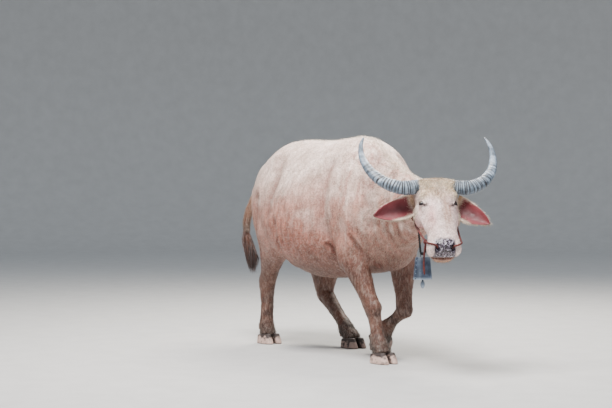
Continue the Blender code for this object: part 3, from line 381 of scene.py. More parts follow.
def hideColours(points, normals):
    body = points - np.array(shift)
    local = inHead(points)
    x, y, z = body.T
    side = np.abs(y)
    colour = np.tile(markings["base"], (len(points), 1))

    def lay(name, share):
        nonlocal colour
        share = np.clip(share, 0, 1)[:, None]
        colour = colour * (1 - share) + np.array(markings[name]) * share

    broad = cloud(points, 0.22, 1) - 0.5
    spots = cloud(points, 0.05, 2) - 0.5
    streaks = cloud(points * (1, 1, 0.16), 0.022, 4) - 0.5
    faceZone = ramp(local[:, 0], -0.06, 0.02) * ramp(x, 0.80, 0.95)
    faceZone *= ramp(local[:, 2], -0.27, -0.22) * (1 - ramp(np.abs(local[:, 1]), 0.15, 0.19))
    tailZone = ramp(-x, 0.72, 0.78)
    limb = (1 - faceZone) * (1 - tailZone)
    # Paler towards the top: partly the pale back, partly painted top light
    lay("back", 0.92 * ramp(z + 0.14 * broad, 0.80, 1.16))
    lay("flank", 0.85 * near(body * (1, 0, 1), (0.06, 0, 0.68), (0.40, 1, 0.20)) * ramp(side, 0.1, 0.28))
    lay("neck", 0.8 * near(body * (1, 0, 1), (0.76, 0, 0.88), (0.24, 1, 0.26)))
    lay("shoulder", 0.55 * near(body * (1, 0, 1), (0.58, 0, 0.78), (0.16, 1, 0.12)))
    # Darker towards the bottom: partly the belly's own colour, partly painted shade
    lay("belly", 0.94 * ramp(-z - 0.10 * broad - 0.06 * spots, -0.76, -0.50))
    lay("leg", 0.92 * limb * ramp(-z - 0.10 * broad - 0.06 * spots, -0.56, -0.38))
    lay("back", 0.55 * limb * ramp(streaks, 0.02, 0.25) * ramp(z, 0.62, 0.8) * ramp(x, 0.30, 0.55))
    lay("flank", 0.50 * limb * ramp(-streaks, 0.05, 0.25) * ramp(z, 0.60, 0.8) * ramp(x, 0.30, 0.55))
    # Painted shade: the skin darker and redder in its folds
    paintedFoldShade = np.zeros(len(points))
    for fromSides, line, half, depth in folds:
        mine = np.isin(np.sign(y), fromSides) * ramp(side, 0.02, 0.08)
        paintedFoldShade += mine * np.exp(-(lineDistance(body[:, (0, 2)], line) / (1.2 * half)) ** 2)
    lay("fold", 0.62 * limb * np.clip(paintedFoldShade, 0, 1))
    brindle = ramp(cloud(points * (1, 1, 0.5), 0.016, 31) + 0.6 * spots, 0.52, 0.86)
    lay("belly", 0.34 * limb * brindle * ramp(-z + 0.2 * broad, -1.15, -0.75))
    pale = ramp(cloud(points, 0.065, 32) + 0.5 * broad, 0.52, 0.80)
    lay("back", 0.45 * limb * pale * ramp(z, 0.62, 0.95))
    mottle = ramp(cloud(points, 0.040, 3) + 0.7 * spots, 0.34, 0.72)
    lay("mud", 0.85 * limb * ramp(-z, -0.46, -0.05) * mottle)
    lay("mud", 0.62 * limb * ramp(-z, -0.20, -0.07))
    lay("tail", tailZone * ramp(-z, -1.12, -0.98))
    lay("tailEnd", 0.85 * tailZone * ramp(-z, -0.88, -0.74))
    lay("face", faceZone)
    lay("forehead", faceZone * ramp(-local[:, 0] + 0.12 * spots, -0.19, -0.05) * (0.85 + 0.6 * spots))
    cheek = near(local * (1, 0, 1), (0.22, 0, -0.15), (0.12, 1, 0.07))
    lay("cheek", faceZone * cheek * 0.8)
    top = ramp(local[:, 2], -0.07, -0.03)
    for across, half, length in ((0.018, 0.007, 0.15), (0.034, 0.010, 0.12), (0.052, 0.006, 0.10)):
        drift = across + 0.010 * (cloud(points, 0.06, 33) - 0.5)
        stripe = np.exp(-((local[:, 1] - drift) / half) ** 2 - ((local[:, 0] - 0.22) / length) ** 2)
        lay("bridge", faceZone * stripe * 0.85 * top)
    lay("cheek", faceZone * near(local * (1, 1, 0), (0.25, -0.048, 0), (0.11, 0.024, 1)) * 0.75 * top)
    lay("cheek", faceZone * near(local * (1, 1, 0), (0.18, 0.070, 0), (0.06, 0.020, 1)) * 0.65 * top)
    lay("bridge", faceZone * 0.55 * near(local, (0.10, 0.0, 0.01), (0.05, 0.03, 0.05)) * (1 + 2 * spots))
    muzzle = faceZone * ramp(local[:, 0], 0.33, 0.40)
    lips = local[:, 2] + mouthHeight(local[:, 0])
    lay("chin", muzzle * ramp(-lips, 0.004, 0.024) * 0.85)
    lay("lip", muzzle * (1 - ramp(np.abs(lips + 0.004), 0.006, 0.018)))
    lay("pad", faceZone * padShare(local) * 0.92)
    # Painted shade: the nostrils near black
    nostrils = np.stack((local[:, 0], np.abs(local[:, 1]), local[:, 2]), 1)
    lay("nostril", faceZone * near(nostrils, headPose["nostril"], (0.022, 0.017, 0.015)) * 1.2)
    along, over, facing = earPlaces(local, normals @ headOut)
    inner = (along > 0) * ramp(facing, 0.0, 0.35) * (1 - ramp(np.abs(over + 0.12), 0.74, 0.92))
    lay("earRim", (along > 0) * 0.85)
    lay("earInside", inner * ramp(along, 0.06, 0.20))
    places = np.stack((along, over, 0 * along), 1)
    # Painted shade deep in the ear's hollow
    lay("earHollowShade", inner * near(places, (0.50, -0.10, 0), (0.40, 0.50, 1)) * 0.9)
    lay("tailEnd", (along > 0) * ramp(along, 0.93, 1.0) * 0.6)
    eyes = np.stack((local[:, 0], np.abs(local[:, 1]), local[:, 2]), 1)
    lay("lid", faceZone * near(eyes, eyeSettings["centre"], (0.050, 0.050, 0.045)) * 0.85)
    for _, s in sides:
        centre, gaze, fore, up = eyeFrame(s)
        away = local - centre
        outside = lidDistance(away, gaze, fore, up)
        rim = np.exp(-(np.maximum(outside, 0) / 6) ** 2) * (np.linalg.norm(away, axis=1) < 0.034)
        lay("lidMargin", faceZone * rim * (away @ gaze > 0.004))
        for reach, size, strength in ((0.025, 0.010, 1.2), (0.036, 0.011, 0.6), (-0.025, 0.008, 0.9)):
            corner = near(local, centre + fore * reach + gaze * 0.008, (size, size, size))
            lay("lidMargin", faceZone * corner * strength)
        bag = near(local, centre - up * 0.034 + gaze * 0.006, (0.018, 0.010, 0.012))
        lay("cheek", faceZone * bag * 0.55)
    return colour


def padShare(local):
    share = ramp(local[:, 0] + 0.42 * (local[:, 2] + 0.03), 0.434, 0.450)
    share *= 1 - ramp(np.abs(local[:, 1]) + 0.10 * (local[:, 2] + 0.03), 0.050, 0.060)
    return share * ramp(local[:, 2] + mouthHeight(local[:, 0]), 0.008, 0.014)


# Masks for the skin's fine pattern: the wet nose pad, the bare inner ear
def hideMasks(points, normals):
    local = inHead(points)
    faceZone = ramp(local[:, 0], -0.06, 0.02) * (local[:, 2] > -0.27)
    along, over, facing = earPlaces(local, normals @ headOut)
    ear = (along > 0) * ramp(facing, 0.0, 0.35)
    return np.stack((faceZone * padShare(local), ear, faceZone), 1)


# The skin
skinLook = {
    "voxel": 0.0034,
    "allOver": 8,
    "bodyPasses": 30,
    "trunkPasses": 130,
    "bodyTriangles": 92000,
    "headTriangles": 46000,
    "depth": 0.0012,                   # how far it lies inside the solids, under the coat
}
fleshNodes = (
    "torso", "neck", "head", "foreleg_left", "foreleg_right", "hindleg_left",
    "hindleg_right", "ear_left", "ear_right", "tail",
)


def zoneWeights(points):
    local = inHead(points)
    body = points - np.array(shift)
    face = ramp(local[:, 0], -0.10, -0.01) * ramp(body[:, 0], 0.85, 0.98)
    foot = ramp(-body[:, 2], -0.62, -0.46)
    rump = 1 - ramp(body[:, 0], -0.79, -0.73)
    return (1 - face) * (1 - foot) * (1 - rump), (1 - face) * (1 - rump), face


def smoothed(piece, weights, passes):
    group = piece.vertex_groups.new(name="soft")
    levels = np.round(np.clip(weights, 0, 1) * 8).astype(int)
    for level in range(1, 9):
        chosen = np.nonzero(levels == level)[0].tolist()
        if chosen:
            group.add(chosen, level / 8, "REPLACE")
    soften = piece.modifiers.new("soften", "SMOOTH")
    soften.factor = 0.5
    soften.iterations = passes
    soften.vertex_group = group.name
    applyModifiers(piece)
    piece.vertex_groups.clear()


# Fewer triangles where the mask is true, down to about the target
def thinned(piece, chosen, target):
    mesh = piece.data
    mesh.calc_loop_triangles()
    corners = np.empty(len(mesh.loop_triangles) * 3, np.int32)
    mesh.loop_triangles.foreach_get("vertices", corners)
    inside = chosen[corners.reshape(-1, 3)].all(1).sum()
    total = len(mesh.loop_triangles)
    group = piece.vertex_groups.new(name="thin")
    group.add(np.nonzero(chosen)[0].tolist(), 1.0, "REPLACE")
    fewer = piece.modifiers.new("fewer", "DECIMATE")
    fewer.ratio = (total - max(0, inside - target)) / total
    fewer.vertex_group = group.name
    fewer.vertex_group_factor = 1000.0
    fewer.use_collapse_triangulate = True
    applyModifiers(piece)
    piece.vertex_groups.clear()


# Folds of the skin, seen from the side: which sides, the line as x and z, half width, depth; the skin is sunk along
# them and painted darker there as shade
folds = (
    ((-1,), ((1.000, 1.02), (1.020, 0.90), (0.995, 0.78)), 0.012, 0.006),
    ((-1,), ((0.930, 1.04), (0.955, 0.88), (0.930, 0.72)), 0.013, 0.006),
    ((-1,), ((0.850, 1.05), (0.880, 0.88), (0.860, 0.70)), 0.015, 0.005),
    ((-1, 1), ((0.760, 1.08), (0.790, 0.90), (0.780, 0.68)), 0.018, 0.003),
    ((-1, 1), ((0.600, 1.18), (0.660, 0.98), (0.700, 0.80)), 0.030, 0.006),
    ((-1, 1), ((0.300, 1.14), (0.315, 0.90), (0.340, 0.70), (0.380, 0.60)), 0.034, 0.009),
    ((-1, 1), ((0.330, 0.67), (0.370, 0.60), (0.400, 0.545)), 0.011, 0.009),
    ((-1, 1), ((0.555, 0.72), (0.600, 0.63), (0.625, 0.56)), 0.014, 0.008),
    ((-1, 1), ((-0.110, 0.80), (-0.090, 0.68), (-0.150, 0.56)), 0.022, 0.008),
    ((-1, 1), ((-0.420, 0.94), (-0.460, 0.76), (-0.500, 0.58)), 0.032, 0.007),
    ((-1, 1), ((-0.240, 1.16), (-0.200, 1.00), (-0.220, 0.86)), 0.040, 0.006),
    ((-1, 1), ((-0.640, 1.12), (-0.665, 0.98), (-0.660, 0.84)), 0.024, 0.006),
)
ribs = {"count": 7, "first": -0.13, "gap": 0.060, "half": 0.017, "depth": 0.0022}


def sculptBody(piece):
    points, normals = pointsOf(piece.data), normalsOf(piece.data)
    body = points - np.array(shift)
    local = inHead(points)
    face = zoneWeights(points)[2]
    push = np.zeros(len(points))
    lines = list(folds)
    for i in range(ribs["count"]):
        x = ribs["first"] + ribs["gap"] * i
        line = ((x + 0.05, 1.10), (x + 0.01, 0.92), (x - 0.02, 0.70))
        lines.append(((-1, 1), line, ribs["half"], ribs["depth"]))
    for fold in lines:
        fromSides, line, half, depth = fold
        low = np.min(line, axis=0) - 4 * half
        high = np.max(line, axis=0) + 4 * half
        flat = body[:, (0, 2)]
        close = np.nonzero(((flat > low) & (flat < high)).all(1))[0]
        close = close[np.isin(np.sign(body[close, 1]), fromSides)]
        gap = lineDistance(flat[close], line) / half
        sideways = ramp(np.abs(body[close, 1]), 0.03, 0.09)
        push[close] -= 1.7 * depth * sideways * (np.exp(-gap ** 2) - 0.35 * np.exp(-(gap - 2.0) ** 2))
    for elbow, knee, fetlock in legJoints.values():
        down = np.array(fetlock) - np.array(knee)
        down /= np.linalg.norm(down)
        back = np.cross((0, 1, 0), down)
        line = [np.array(knee) + back * 0.016 + down * 0.05, np.array(fetlock) + back * 0.016 - down * 0.03]
        close = np.nonzero(np.abs(body - np.array(knee)).max(1) < 0.36)[0]
        flat = body[close][:, (0, 2)]
        gap = lineDistance(flat, [row[[0, 2]] for row in line]) / 0.009
        mine = np.sign(body[close, 1]) == np.sign(knee[1])
        push[close] -= 0.0038 * np.exp(-gap ** 2) * mine
    low = ramp(-body[:, 2], -0.46, -0.36) * (1 - face)
    push += 0.0030 * low * (cloud(body * (1, 1, 2.6), 0.030, 8) - 0.5)
    push += (1 - face) * 0.0060 * (cloud(body, 0.11, 9) - 0.5)
    push += (1 - face) * 0.0026 * (cloud(body * (1, 1, 0.5), 0.034, 10) - 0.5)
    wrinkle = near(body, (0.66, 0, 0.60), (0.16, 0.2, 0.16)) + near(local, (0.0, 0, -0.24), (0.2, 0.2, 0.1))
    push += 0.007 * wrinkle * (cloud(body * (1.4, 1.4, 0.5), 0.030, 11) - 0.5)
    push -= skinLook["depth"]
    setPoints(piece.data, points + normals * push[:, None])


def mouthHeight(x):
    return 0.100 + 0.012 * np.clip((x - 0.35) / 0.2, 0, 1)


# Eyes: the lids open on a line that slants towards the nose
eyeSettings = {
    "centre": headPose["eye"],
    "gaze": (0.16, 0.72, 0.68),
    "slant": (0.72, -0.50, 0.45),
    "radius": 0.0212,
    "halfLength": 74.0,                # of the opening between the lids, in degrees on the ball
    "upper": 37.0,
    "lower": 30.0,
    "rim": 0.0030,
    "segments": 48,
}


def eyeFrame(s):
    centre = np.array(eyeSettings["centre"]) * (1, s, 1)
    gaze = unit(np.array(eyeSettings["gaze"]) * (1, s, 1))
    fore = np.array(eyeSettings["slant"]) * (1, s, 1)
    fore = unit(fore - gaze * (fore @ gaze))
    return centre, gaze, fore, np.cross(fore, gaze) * s


def makeEye(side, s):
    centre, gaze, fore, up = eyeFrame(s)
    bm = bmesh.new()
    segments = eyeSettings["segments"]
    bmesh.ops.create_uvsphere(
        bm, u_segments=segments, v_segments=segments // 2, radius=eyeSettings["radius"]
    )
    aim = Vector(gaze).to_track_quat("Z", "Y").to_matrix().to_4x4()
    bm.transform(Matrix.Translation(Vector(centre)) @ aim)
    eye = makeObject(bm, "eyeball_" + side)
    local = pointsOf(eye.data)
    away = unit(local - centre)
    facing = away @ gaze
    bulge = 0.0009 * ramp(facing, 0.80, 0.95)
    across, lift = away @ fore, away @ up
    pupil = 1 - ramp(np.hypot(across / 0.42, lift / 0.20), 0.85, 1.1)
    white = 1 - ramp(facing, 0.62, 0.74)
    setPoints(eye.data, (local + away * bulge[:, None]) @ headOut.T + np.array(pollPlace))
    paintPoints(eye.data, "iris", np.stack((pupil, white, 0 * white), 1))
    return eye


def eyeMaterial():
    material, tree, shader = newMaterial("eyeball", 0.10)
    shader.inputs["Coat Weight"].default_value = 0.3
    shader.inputs["Coat Roughness"].default_value = 0.03
    parts = addNode(tree, "ShaderNodeSeparateColor")
    tree.links.new(attributeOn(tree, "iris"), parts.inputs["Color"])
    iris = banded(
        tree, noiseOn(tree, 420, 4, 0.7, (1, 1, 0.3)), (0.3, linear(22, 15, 14)), (0.7, linear(50, 34, 30))
    )
    colour = blended(tree, parts.outputs["Green"], iris, linear(96, 74, 70))
    colour = blended(tree, parts.outputs["Red"], colour, linear(5, 5, 9))
    tree.links.new(colour, shader.inputs["Base Color"])
    return material


# How far outside the opening between the lids a direction lies, in degrees
def lidDistance(away, gaze, fore, up):
    ahead = np.maximum(away @ gaze, 1e-6)
    a = np.degrees(np.arctan2(away @ fore, ahead))
    b = np.degrees(np.arctan2(away @ up, ahead))
    bend = np.cos(np.clip(a / eyeSettings["halfLength"], -1, 1) * math.pi / 2)
    limit = np.where(b > 0, eyeSettings["upper"], eyeSettings["lower"]) * bend
    beyond = np.maximum(np.abs(a) - eyeSettings["halfLength"], 0)
    return np.hypot(np.abs(b) - limit, beyond) * np.sign(np.maximum(np.abs(b) - limit, beyond - 0.01))


def refined(piece, chosen, cuts=1):
    bm = bmesh.new()
    bm.from_mesh(piece.data)
    bm.verts.ensure_lookup_table()
    edges = {edge for i in np.nonzero(chosen)[0] for edge in bm.verts[i].link_edges}
    bmesh.ops.subdivide_edges(bm, edges=list(edges), cuts=cuts, use_grid_fill=True, smooth=0.3)
    bmesh.ops.triangulate(bm, faces=[face for face in bm.faces if len(face.verts) > 4])
    bm.to_mesh(piece.data)
    bm.free()


def refineHead(piece):
    for reach in (0.034, 0.028):
        local = inHead(pointsOf(piece.data))
        eyes = np.stack((local[:, 0], np.abs(local[:, 1]), local[:, 2]), 1)
        chosen = np.linalg.norm(eyes - np.array(eyeSettings["centre"]), axis=1) < reach
        lips = np.abs(local[:, 2] + mouthHeight(local[:, 0])) < 0.010 * reach / 0.034
        chosen |= lips & (local[:, 0] > 0.34) & (np.abs(local[:, 1]) < 0.11)
        if reach > 0.03:
            chosen |= np.linalg.norm(eyes - np.array(headPose["nostril"]), axis=1) < 0.030
        refined(piece, chosen)


def sculptHead(piece):
    points = pointsOf(piece.data)
    normals = normalsOf(piece.data) @ headOut
    local = inHead(points)
    face = zoneWeights(points)[2]
    x, y, z = local.T
    side = np.abs(y)
    push = np.zeros(len(points))
    folded = np.stack((x, side, z), 1)
    # Full cheeks and jaw, frontal bones, tear groove, cheek line, veins and the muzzle's wrinkles
    push += 0.0120 * near(folded, (0.295, 0.080, -0.080), (0.080, 0.05, 0.050))
    push += 0.0120 * near(folded, (0.250, 0.070, -0.165), (0.110, 0.05, 0.060))
    push += 0.0035 * near(folded, (0.075, 0.060, 0.012), (0.05, 0.035, 0.04))
    push -= 0.0040 * near(folded, (0.110, 0.000, 0.015), (0.045, 0.028, 0.04))
    push -= 0.0045 * np.exp(-(lineDistance(folded, ((0.185, 0.082, -0.030), (0.235, 0.072, -0.034), (0.29, 0.064, -0.03))) / 0.007) ** 2)
    push += 0.0035 * np.exp(-(lineDistance(folded, ((0.20, 0.096, -0.075), (0.27, 0.083, -0.062), (0.33, 0.074, -0.055))) / 0.012) ** 2)
    for line in (
        ((0.24, 0.085, -0.045), (0.30, 0.080, -0.070), (0.36, 0.078, -0.062)),
        ((0.28, 0.084, -0.085), (0.34, 0.078, -0.062), (0.40, 0.080, -0.040)),
    ):
        push += 0.0018 * np.exp(-(lineDistance(folded, line) / 0.0035) ** 2)
    above = near(folded, (0.112, 0.080, -0.014), (0.030, 0.030, 0.03))
    push += 0.0030 * above * np.sin(x * 520 + 3 * cloud(local, 0.03, 12))
    below = near(folded, (0.205, 0.090, -0.058), (0.030, 0.030, 0.03))
    push += 0.0020 * below * np.sin(x * 420 + 40 * side + 3 * cloud(local, 0.03, 13))
    nose = near(local * (1, 0.4, 1), (0.420, 0, -0.004), (0.030, 0.05, 0.03))
    push += 0.0016 * nose * np.sin(x * 640 + 4 * cloud(local, 0.02, 14))
    rim = np.linalg.norm((folded - np.array(headPose["nostril"]) - (0.002, 0.004, 0)) / (0.030, 0.026, 0.024), axis=1)
    push += 0.0045 * np.exp(-((rim - 1.0) / 0.30) ** 2) * (x > 0.42)
    lips = z + mouthHeight(x)
    front = ramp(x, 0.335, 0.375)
    push -= front * 0.0085 * np.exp(-(lips / 0.0034) ** 2)
    push += front * 0.0030 * (np.exp(-((lips - 0.011) / 0.007) ** 2) + np.exp(-((lips + 0.012) / 0.008) ** 2))
    push += face * 0.0028 * (cloud(local, 0.045, 15) - 0.5)
    push += face * 0.0012 * (cloud(local, 0.012, 16) - 0.5)
    padZone = ramp(x + 0.42 * (z + 0.03), 0.424, 0.446) * (side < 0.06)
    push += 0.0016 * padZone * (cloud(local, 0.0055, 17) - 0.5)
    push *= face
    local = local + normals * push[:, None]
    for _, s in sides:
        centre, gaze, fore, up = eyeFrame(s)
        away = local - centre
        reach = np.linalg.norm(away, axis=1)
        close = (reach < 0.060) & (away @ gaze > 0.002)
        outside = lidDistance(away, gaze, fore, up)
        ball = eyeSettings["radius"]
        lidTop = ball + eyeSettings["rim"] * (0.55 + 0.45 * np.exp(-((outside - 9) / 7) ** 2))
        mixed = ramp(outside, 14, 46) * ramp(reach, 0.020, 0.030)
        wanted = np.where(outside < 0, ball - 0.0035 * ramp(-outside, 0, 5) + 0.0006, lidTop)
        crease = 0.0016 * np.exp(-((outside - 21) / 4) ** 2) * (away @ up > 0)
        aim = wanted * (1 - mixed) + reach * mixed - crease
        keep = 1 - ramp(reach, 0.042, 0.060)
        moved = reach + (aim - reach) * keep * ramp(away @ gaze, 0.002, 0.012)
        local[close] = (centre + away * (moved / np.maximum(reach, 1e-6))[:, None])[close]
    points = local @ headOut.T + np.array(pollPlace)
    setPoints(piece.data, points)


def makeSkin():
    bm = bmesh.new()
    for name in fleshNodes + ("eye_left", "eye_right"):
        bm.from_mesh(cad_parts[name].data)
    bmesh.ops.remove_doubles(bm, verts=bm.verts, dist=0.00001)
    skin = makeObject(bm, "hide")
    remesh = skin.modifiers.new("remesh", "REMESH")
    remesh.mode = "VOXEL"
    remesh.voxel_size = skinLook["voxel"]
    applyModifiers(skin)
    print("skin remeshed", len(skin.data.vertices))
    trunk, body, face = zoneWeights(pointsOf(skin.data))
    smoothed(skin, np.ones(len(trunk)), skinLook["allOver"])
    smoothed(skin, body, skinLook["bodyPasses"])
    smoothed(skin, trunk, skinLook["trunkPasses"])
    sculptBody(skin)
    face = zoneWeights(pointsOf(skin.data))[2]
    thinned(skin, face < 0.5, skinLook["bodyTriangles"])
    face = zoneWeights(pointsOf(skin.data))[2]
    thinned(skin, face >= 0.5, skinLook["headTriangles"])
    refineHead(skin)
    sculptHead(skin)
    skin.data.shade_smooth()
    print("skin shaped", len(skin.data.polygons))
    return skin


def hideMaterial():
    material, tree, shader = newMaterial("hide", 0.6)
    shader.inputs["Subsurface Weight"].default_value = 0.05
    shader.inputs["Subsurface Radius"].default_value = (0.012, 0.005, 0.003)
    shader.inputs["Subsurface Scale"].default_value = 1.0
    masks = addNode(tree, "ShaderNodeSeparateColor")
    tree.links.new(attributeOn(tree, "masks"), masks.inputs["Color"])
    pad, ear = masks.outputs["Red"], masks.outputs["Green"]
    blotch = banded(tree, noiseOn(tree, 9, 5), (0.32, (0.70, 0.64, 0.61)), (0.66, (1.14, 1.12, 1.12)))
    colour = blended(tree, 0.9, attributeOn(tree, "marking"), blotch, "MULTIPLY")
    patch = banded(tree, noiseOn(tree, 34, 5, 0.65, (1, 1, 0.45)), (0.36, (0.66, 0.58, 0.55)), (0.60, (1.10, 1.10, 1.10)))
    colour = blended(tree, 0.75, colour, patch, "MULTIPLY")
    grain = banded(tree, noiseOn(tree, 105, 5, 0.75), (0.38, (0.42, 0.36, 0.34)), (0.58, (1.14, 1.14, 1.14)))
    colour = blended(tree, 0.78, colour, grain, "MULTIPLY")
    hairs = banded(tree, noiseOn(tree, 70, 5, 0.7, (1, 1, 0.30)), (0.48, 0.0), (0.72, 0.26))
    haired = blended(tree, hairs, colour, linear(236, 214, 198))
    colour = blended(tree, ear, haired, attributeOn(tree, "marking"))
    speck = banded(
        tree, noiseOn(tree, 92, 4, 0.65), (0.44, linear(20, 14, 20)), (0.55, linear(84, 70, 88)),
        (0.68, linear(232, 226, 236)),
    )
    padded = blended(tree, 0.90, colour, speck)
    colour = blended(tree, pad, colour, padded)
    tree.links.new(colour, shader.inputs["Base Color"])
    rough = banded(tree, noiseOn(tree, 40, 4), (0.3, 0.46), (0.7, 0.72))
    tree.links.new(blended(tree, pad, rough, (0.24, 0.24, 0.24)), shader.inputs["Roughness"])
    bumped(
        tree, shader,
        (noiseOn(tree, 24, 6, 0.62, (1, 1, 0.6)), 0.6, 0.010),
        (cellsOn(tree, 120), 0.25, 0.0018),
        (noiseOn(tree, 150, 5, 0.7, (1, 1, 0.35)), 0.6, 0.0026),
    )
    return material


# Horns: a flattened horn that sweeps out, back and up, ringed on its lower two thirds
hornSettings = {
    "path": (
        (0.032, 0.088, -0.024), (0.044, 0.132, -0.020), (0.046, 0.192, -0.018),
        (0.004, 0.268, -0.024), (-0.088, 0.334, -0.038), (-0.214, 0.370, -0.058),
        (-0.326, 0.370, -0.068), (-0.400, 0.346, -0.072),
    ),
    "opening": {"left": 0.98, "right": 1.035},
    "half": (0.0385, 0.030),
    "bulge": 0.20,
    "rings": 27,                       # grooves from the skull to where the horn turns smooth
    "ringed": 0.68,
    "groove": 0.105,
    "steps": 420,
    "around": 36,
}


def hornSection(share):
    taper = (1.0 - share ** 1.5) ** 0.72 * (1.0 - 0.10 * share) + 0.03
    return taper * (1.0 + hornSettings["bulge"] * math.sin(math.pi * min(share / 0.75, 1.0)))


# A skin drawn through rings of places, each ring extruded from the last, with both ends closed
def extrudeRings(bm, rings, caps=True):
    ring = bmesh.ops.create_circle(bm, cap_ends=False, segments=len(rings[0]), radius=1.0)["verts"]
    first = list(ring)
    for index, places in enumerate(rings):
        for vert, place in zip(ring, places):
            vert.co = place
        if index + 1 < len(rings):
            edges = [bm.edges.get((ring[k - 1], ring[k])) for k in range(len(ring))]
            grown = bmesh.ops.extrude_edge_only(bm, edges=edges)["geom"]
            fresh = {item for item in grown if isinstance(item, bmesh.types.BMVert)}
            follow = {}
            for vert in ring:
                for edge in vert.link_edges:
                    if edge.other_vert(vert) in fresh:
                        follow[vert] = edge.other_vert(vert)
            ring = [follow[vert] for vert in ring]
    if caps:
        bmesh.ops.contextual_create(bm, geom=first)
        bmesh.ops.contextual_create(bm, geom=ring)


def makeHorn(side, s):
    path = curveThrough(
        [(x, y * s * hornSettings["opening"][side], z) for x, y, z in hornSettings["path"]], 24
    )
    path = [head @ Vector(point) for point in path]
    steps, around = hornSettings["steps"], hornSettings["around"]
    ringed, total = hornSettings["ringed"], len(path) - 1
    rng = np.random.default_rng(31 if s > 0 else 32)
    starts = np.cumsum(rng.uniform(0.6, 1.4, hornSettings["rings"]))
    starts = starts / starts[-1] * ringed
    depths = rng.uniform(0.55, 1.0, hornSettings["rings"])
    tilts = rng.uniform(-0.010, 0.010, hornSettings["rings"])
    outward = (head.to_3x3() @ Vector((0, 0, 1))).normalized()
    angles = np.linspace(0, 2 * math.pi, around, endpoint=False)
    c, d = np.cos(angles), np.sin(angles)
    a, b = np.sign(c) * np.abs(c) ** 0.87, np.sign(d) * np.abs(d) ** 0.87
    rings, grooves = [], []
    for step in range(steps + 1):
        share = step / steps
        spot = share * total
        low = min(int(spot), total - 1)
        centre = path[low].lerp(path[low + 1], spot - low)
        along = (path[min(low + 2, total)] - path[max(low - 1, 0)]).normalized()
        thick = (outward - along * outward.dot(along)).normalized()
        wide = thick.cross(along)
        fade = max(0.0, 1 - share / ringed) ** 0.3
        cuts = (share + tilts[:, None] * c - starts[:, None]) / (0.0052 * (1 + 0.6 * share))
        groove = (depths[:, None] * np.exp(-cuts ** 2)).sum(0) * fade * (0.62 + 0.38 * b)
        ridge = 0.030 * fade * np.sin(share * 2 * math.pi * hornSettings["rings"] / ringed + 2 * d)
        bulk = hornSection(share) * (1 + ridge - hornSettings["groove"] * groove)
        places = (
            np.array(centre) + np.outer(a * bulk * hornSettings["half"][0], np.array(wide))
            + np.outer(b * bulk * hornSettings["half"][1], np.array(thick))
        )
        rings.append(places)
        grooves.append(groove)
    bm = bmesh.new()
    extrudeRings(bm, rings)
    bmesh.ops.recalc_face_normals(bm, faces=bm.faces)
    horn = makeObject(bm, "horn_skin_" + side)
    shares = np.repeat(np.linspace(0, 1, steps + 1), around)
    grooves = np.clip(np.concatenate(grooves), 0, 1)
    paintPoints(horn.data, "groove", np.stack((grooves, shares, 0 * shares), 1))
    return horn


def hornMaterial():
    material, tree, shader = newMaterial("horn", 0.42)
    parts = addNode(tree, "ShaderNodeSeparateColor")
    tree.links.new(attributeOn(tree, "groove"), parts.inputs["Color"])
    body = banded(
        tree, noiseOn(tree, 26, 6, 0.65),
        (0.30, linear(86, 98, 110)), (0.48, linear(142, 158, 174)), (0.68, linear(204, 218, 234)),
    )
    tipped = banded(tree, parts.outputs["Green"], (0.0, linear(168, 172, 170)), (0.35, linear(190, 198, 206)), (0.8, linear(120, 124, 134)), (1.0, linear(70, 70, 78)))
    colour = blended(tree, 0.55, body, tipped, "MULTIPLY")
    streak = banded(tree, noiseOn(tree, 14, 5, 0.7), (0.40, 0.55), (0.62, 1.0))
    colour = blended(tree, 0.8, colour, streak, "MULTIPLY")
    # Painted shade: the horn darkened in its grooves
    dark = banded(tree, parts.outputs["Red"], (0.08, 0.0), (0.55, 1.0))
    colour = blended(tree, dark, colour, linear(44, 42, 44))
    tree.links.new(colour, shader.inputs["Base Color"])
    rough = banded(tree, parts.outputs["Green"], (0.2, 0.58), (0.8, 0.30))
    tree.links.new(rough, shader.inputs["Roughness"])
    bumped(
        tree, shader,
        (noiseOn(tree, 40, 6, 0.7), 0.4, 0.003),
        (noiseOn(tree, 260, 4, 0.6), 0.25, 0.0008),
    )
    return material


# Cords: each is laid from strands that wind round its route
cordSettings = {
    "rope": {"radius": 0.0055, "pitch": 0.034, "strands": 3, "lift": 0.0016},
    "collar": {"radius": 0.0065, "pitch": 0.046, "strands": 3},
    "step": 0.003,
    "nose": (
        (0.466, 0.036, -0.030), (0.456, 0.066, -0.040), (0.415, 0.098, -0.050),
        (0.205, 0.102, -0.150), (0.120, 0.110, -0.188), (0.030, 0.108, -0.190),
        (-0.035, 0.092, -0.135), (-0.060, 0.050, -0.065), (-0.064, 0.000, -0.050),
    ),
    "knot": 0.0105,
    "endLength": 0.165,
    "endPoints": 14,
    "hump": 0.0140,
    "humpReach": 0.050,
    "nape": (0.985, -0.050, 1.040),
    "side": (1.070, -0.060, 0.860),
}


def spaced(points, step):
    rows = np.array([tuple(point) for point in points])
    lengths = np.concatenate(([0], np.cumsum(np.linalg.norm(np.diff(rows, axis=0), axis=1))))
    count = max(2, int(lengths[-1] / step))
    at = np.linspace(0, lengths[-1], count + 1)
    return np.stack([np.interp(at, lengths, rows[:, k]) for k in range(3)], 1), at


def framesAlong(rows):
    along = unit(np.gradient(rows, axis=0))
    normals = [np.cross(along[0], (0.31, 0.17, 0.93))]
    for tangent in along[1:]:
        normals.append(normals[-1] - tangent * (normals[-1] @ tangent))
    normals = unit(np.array(normals))
    return along, normals, np.cross(along, normals)


def ringsRound(rows, radii, sides):
    along, normals, others = framesAlong(rows)
    angles = np.linspace(0, 2 * math.pi, sides, endpoint=False)
    around = normals[:, None] * np.cos(angles)[:, None] + others[:, None] * np.sin(angles)[:, None]
    return rows[:, None] + around * np.asarray(radii).reshape(-1, 1, 1)


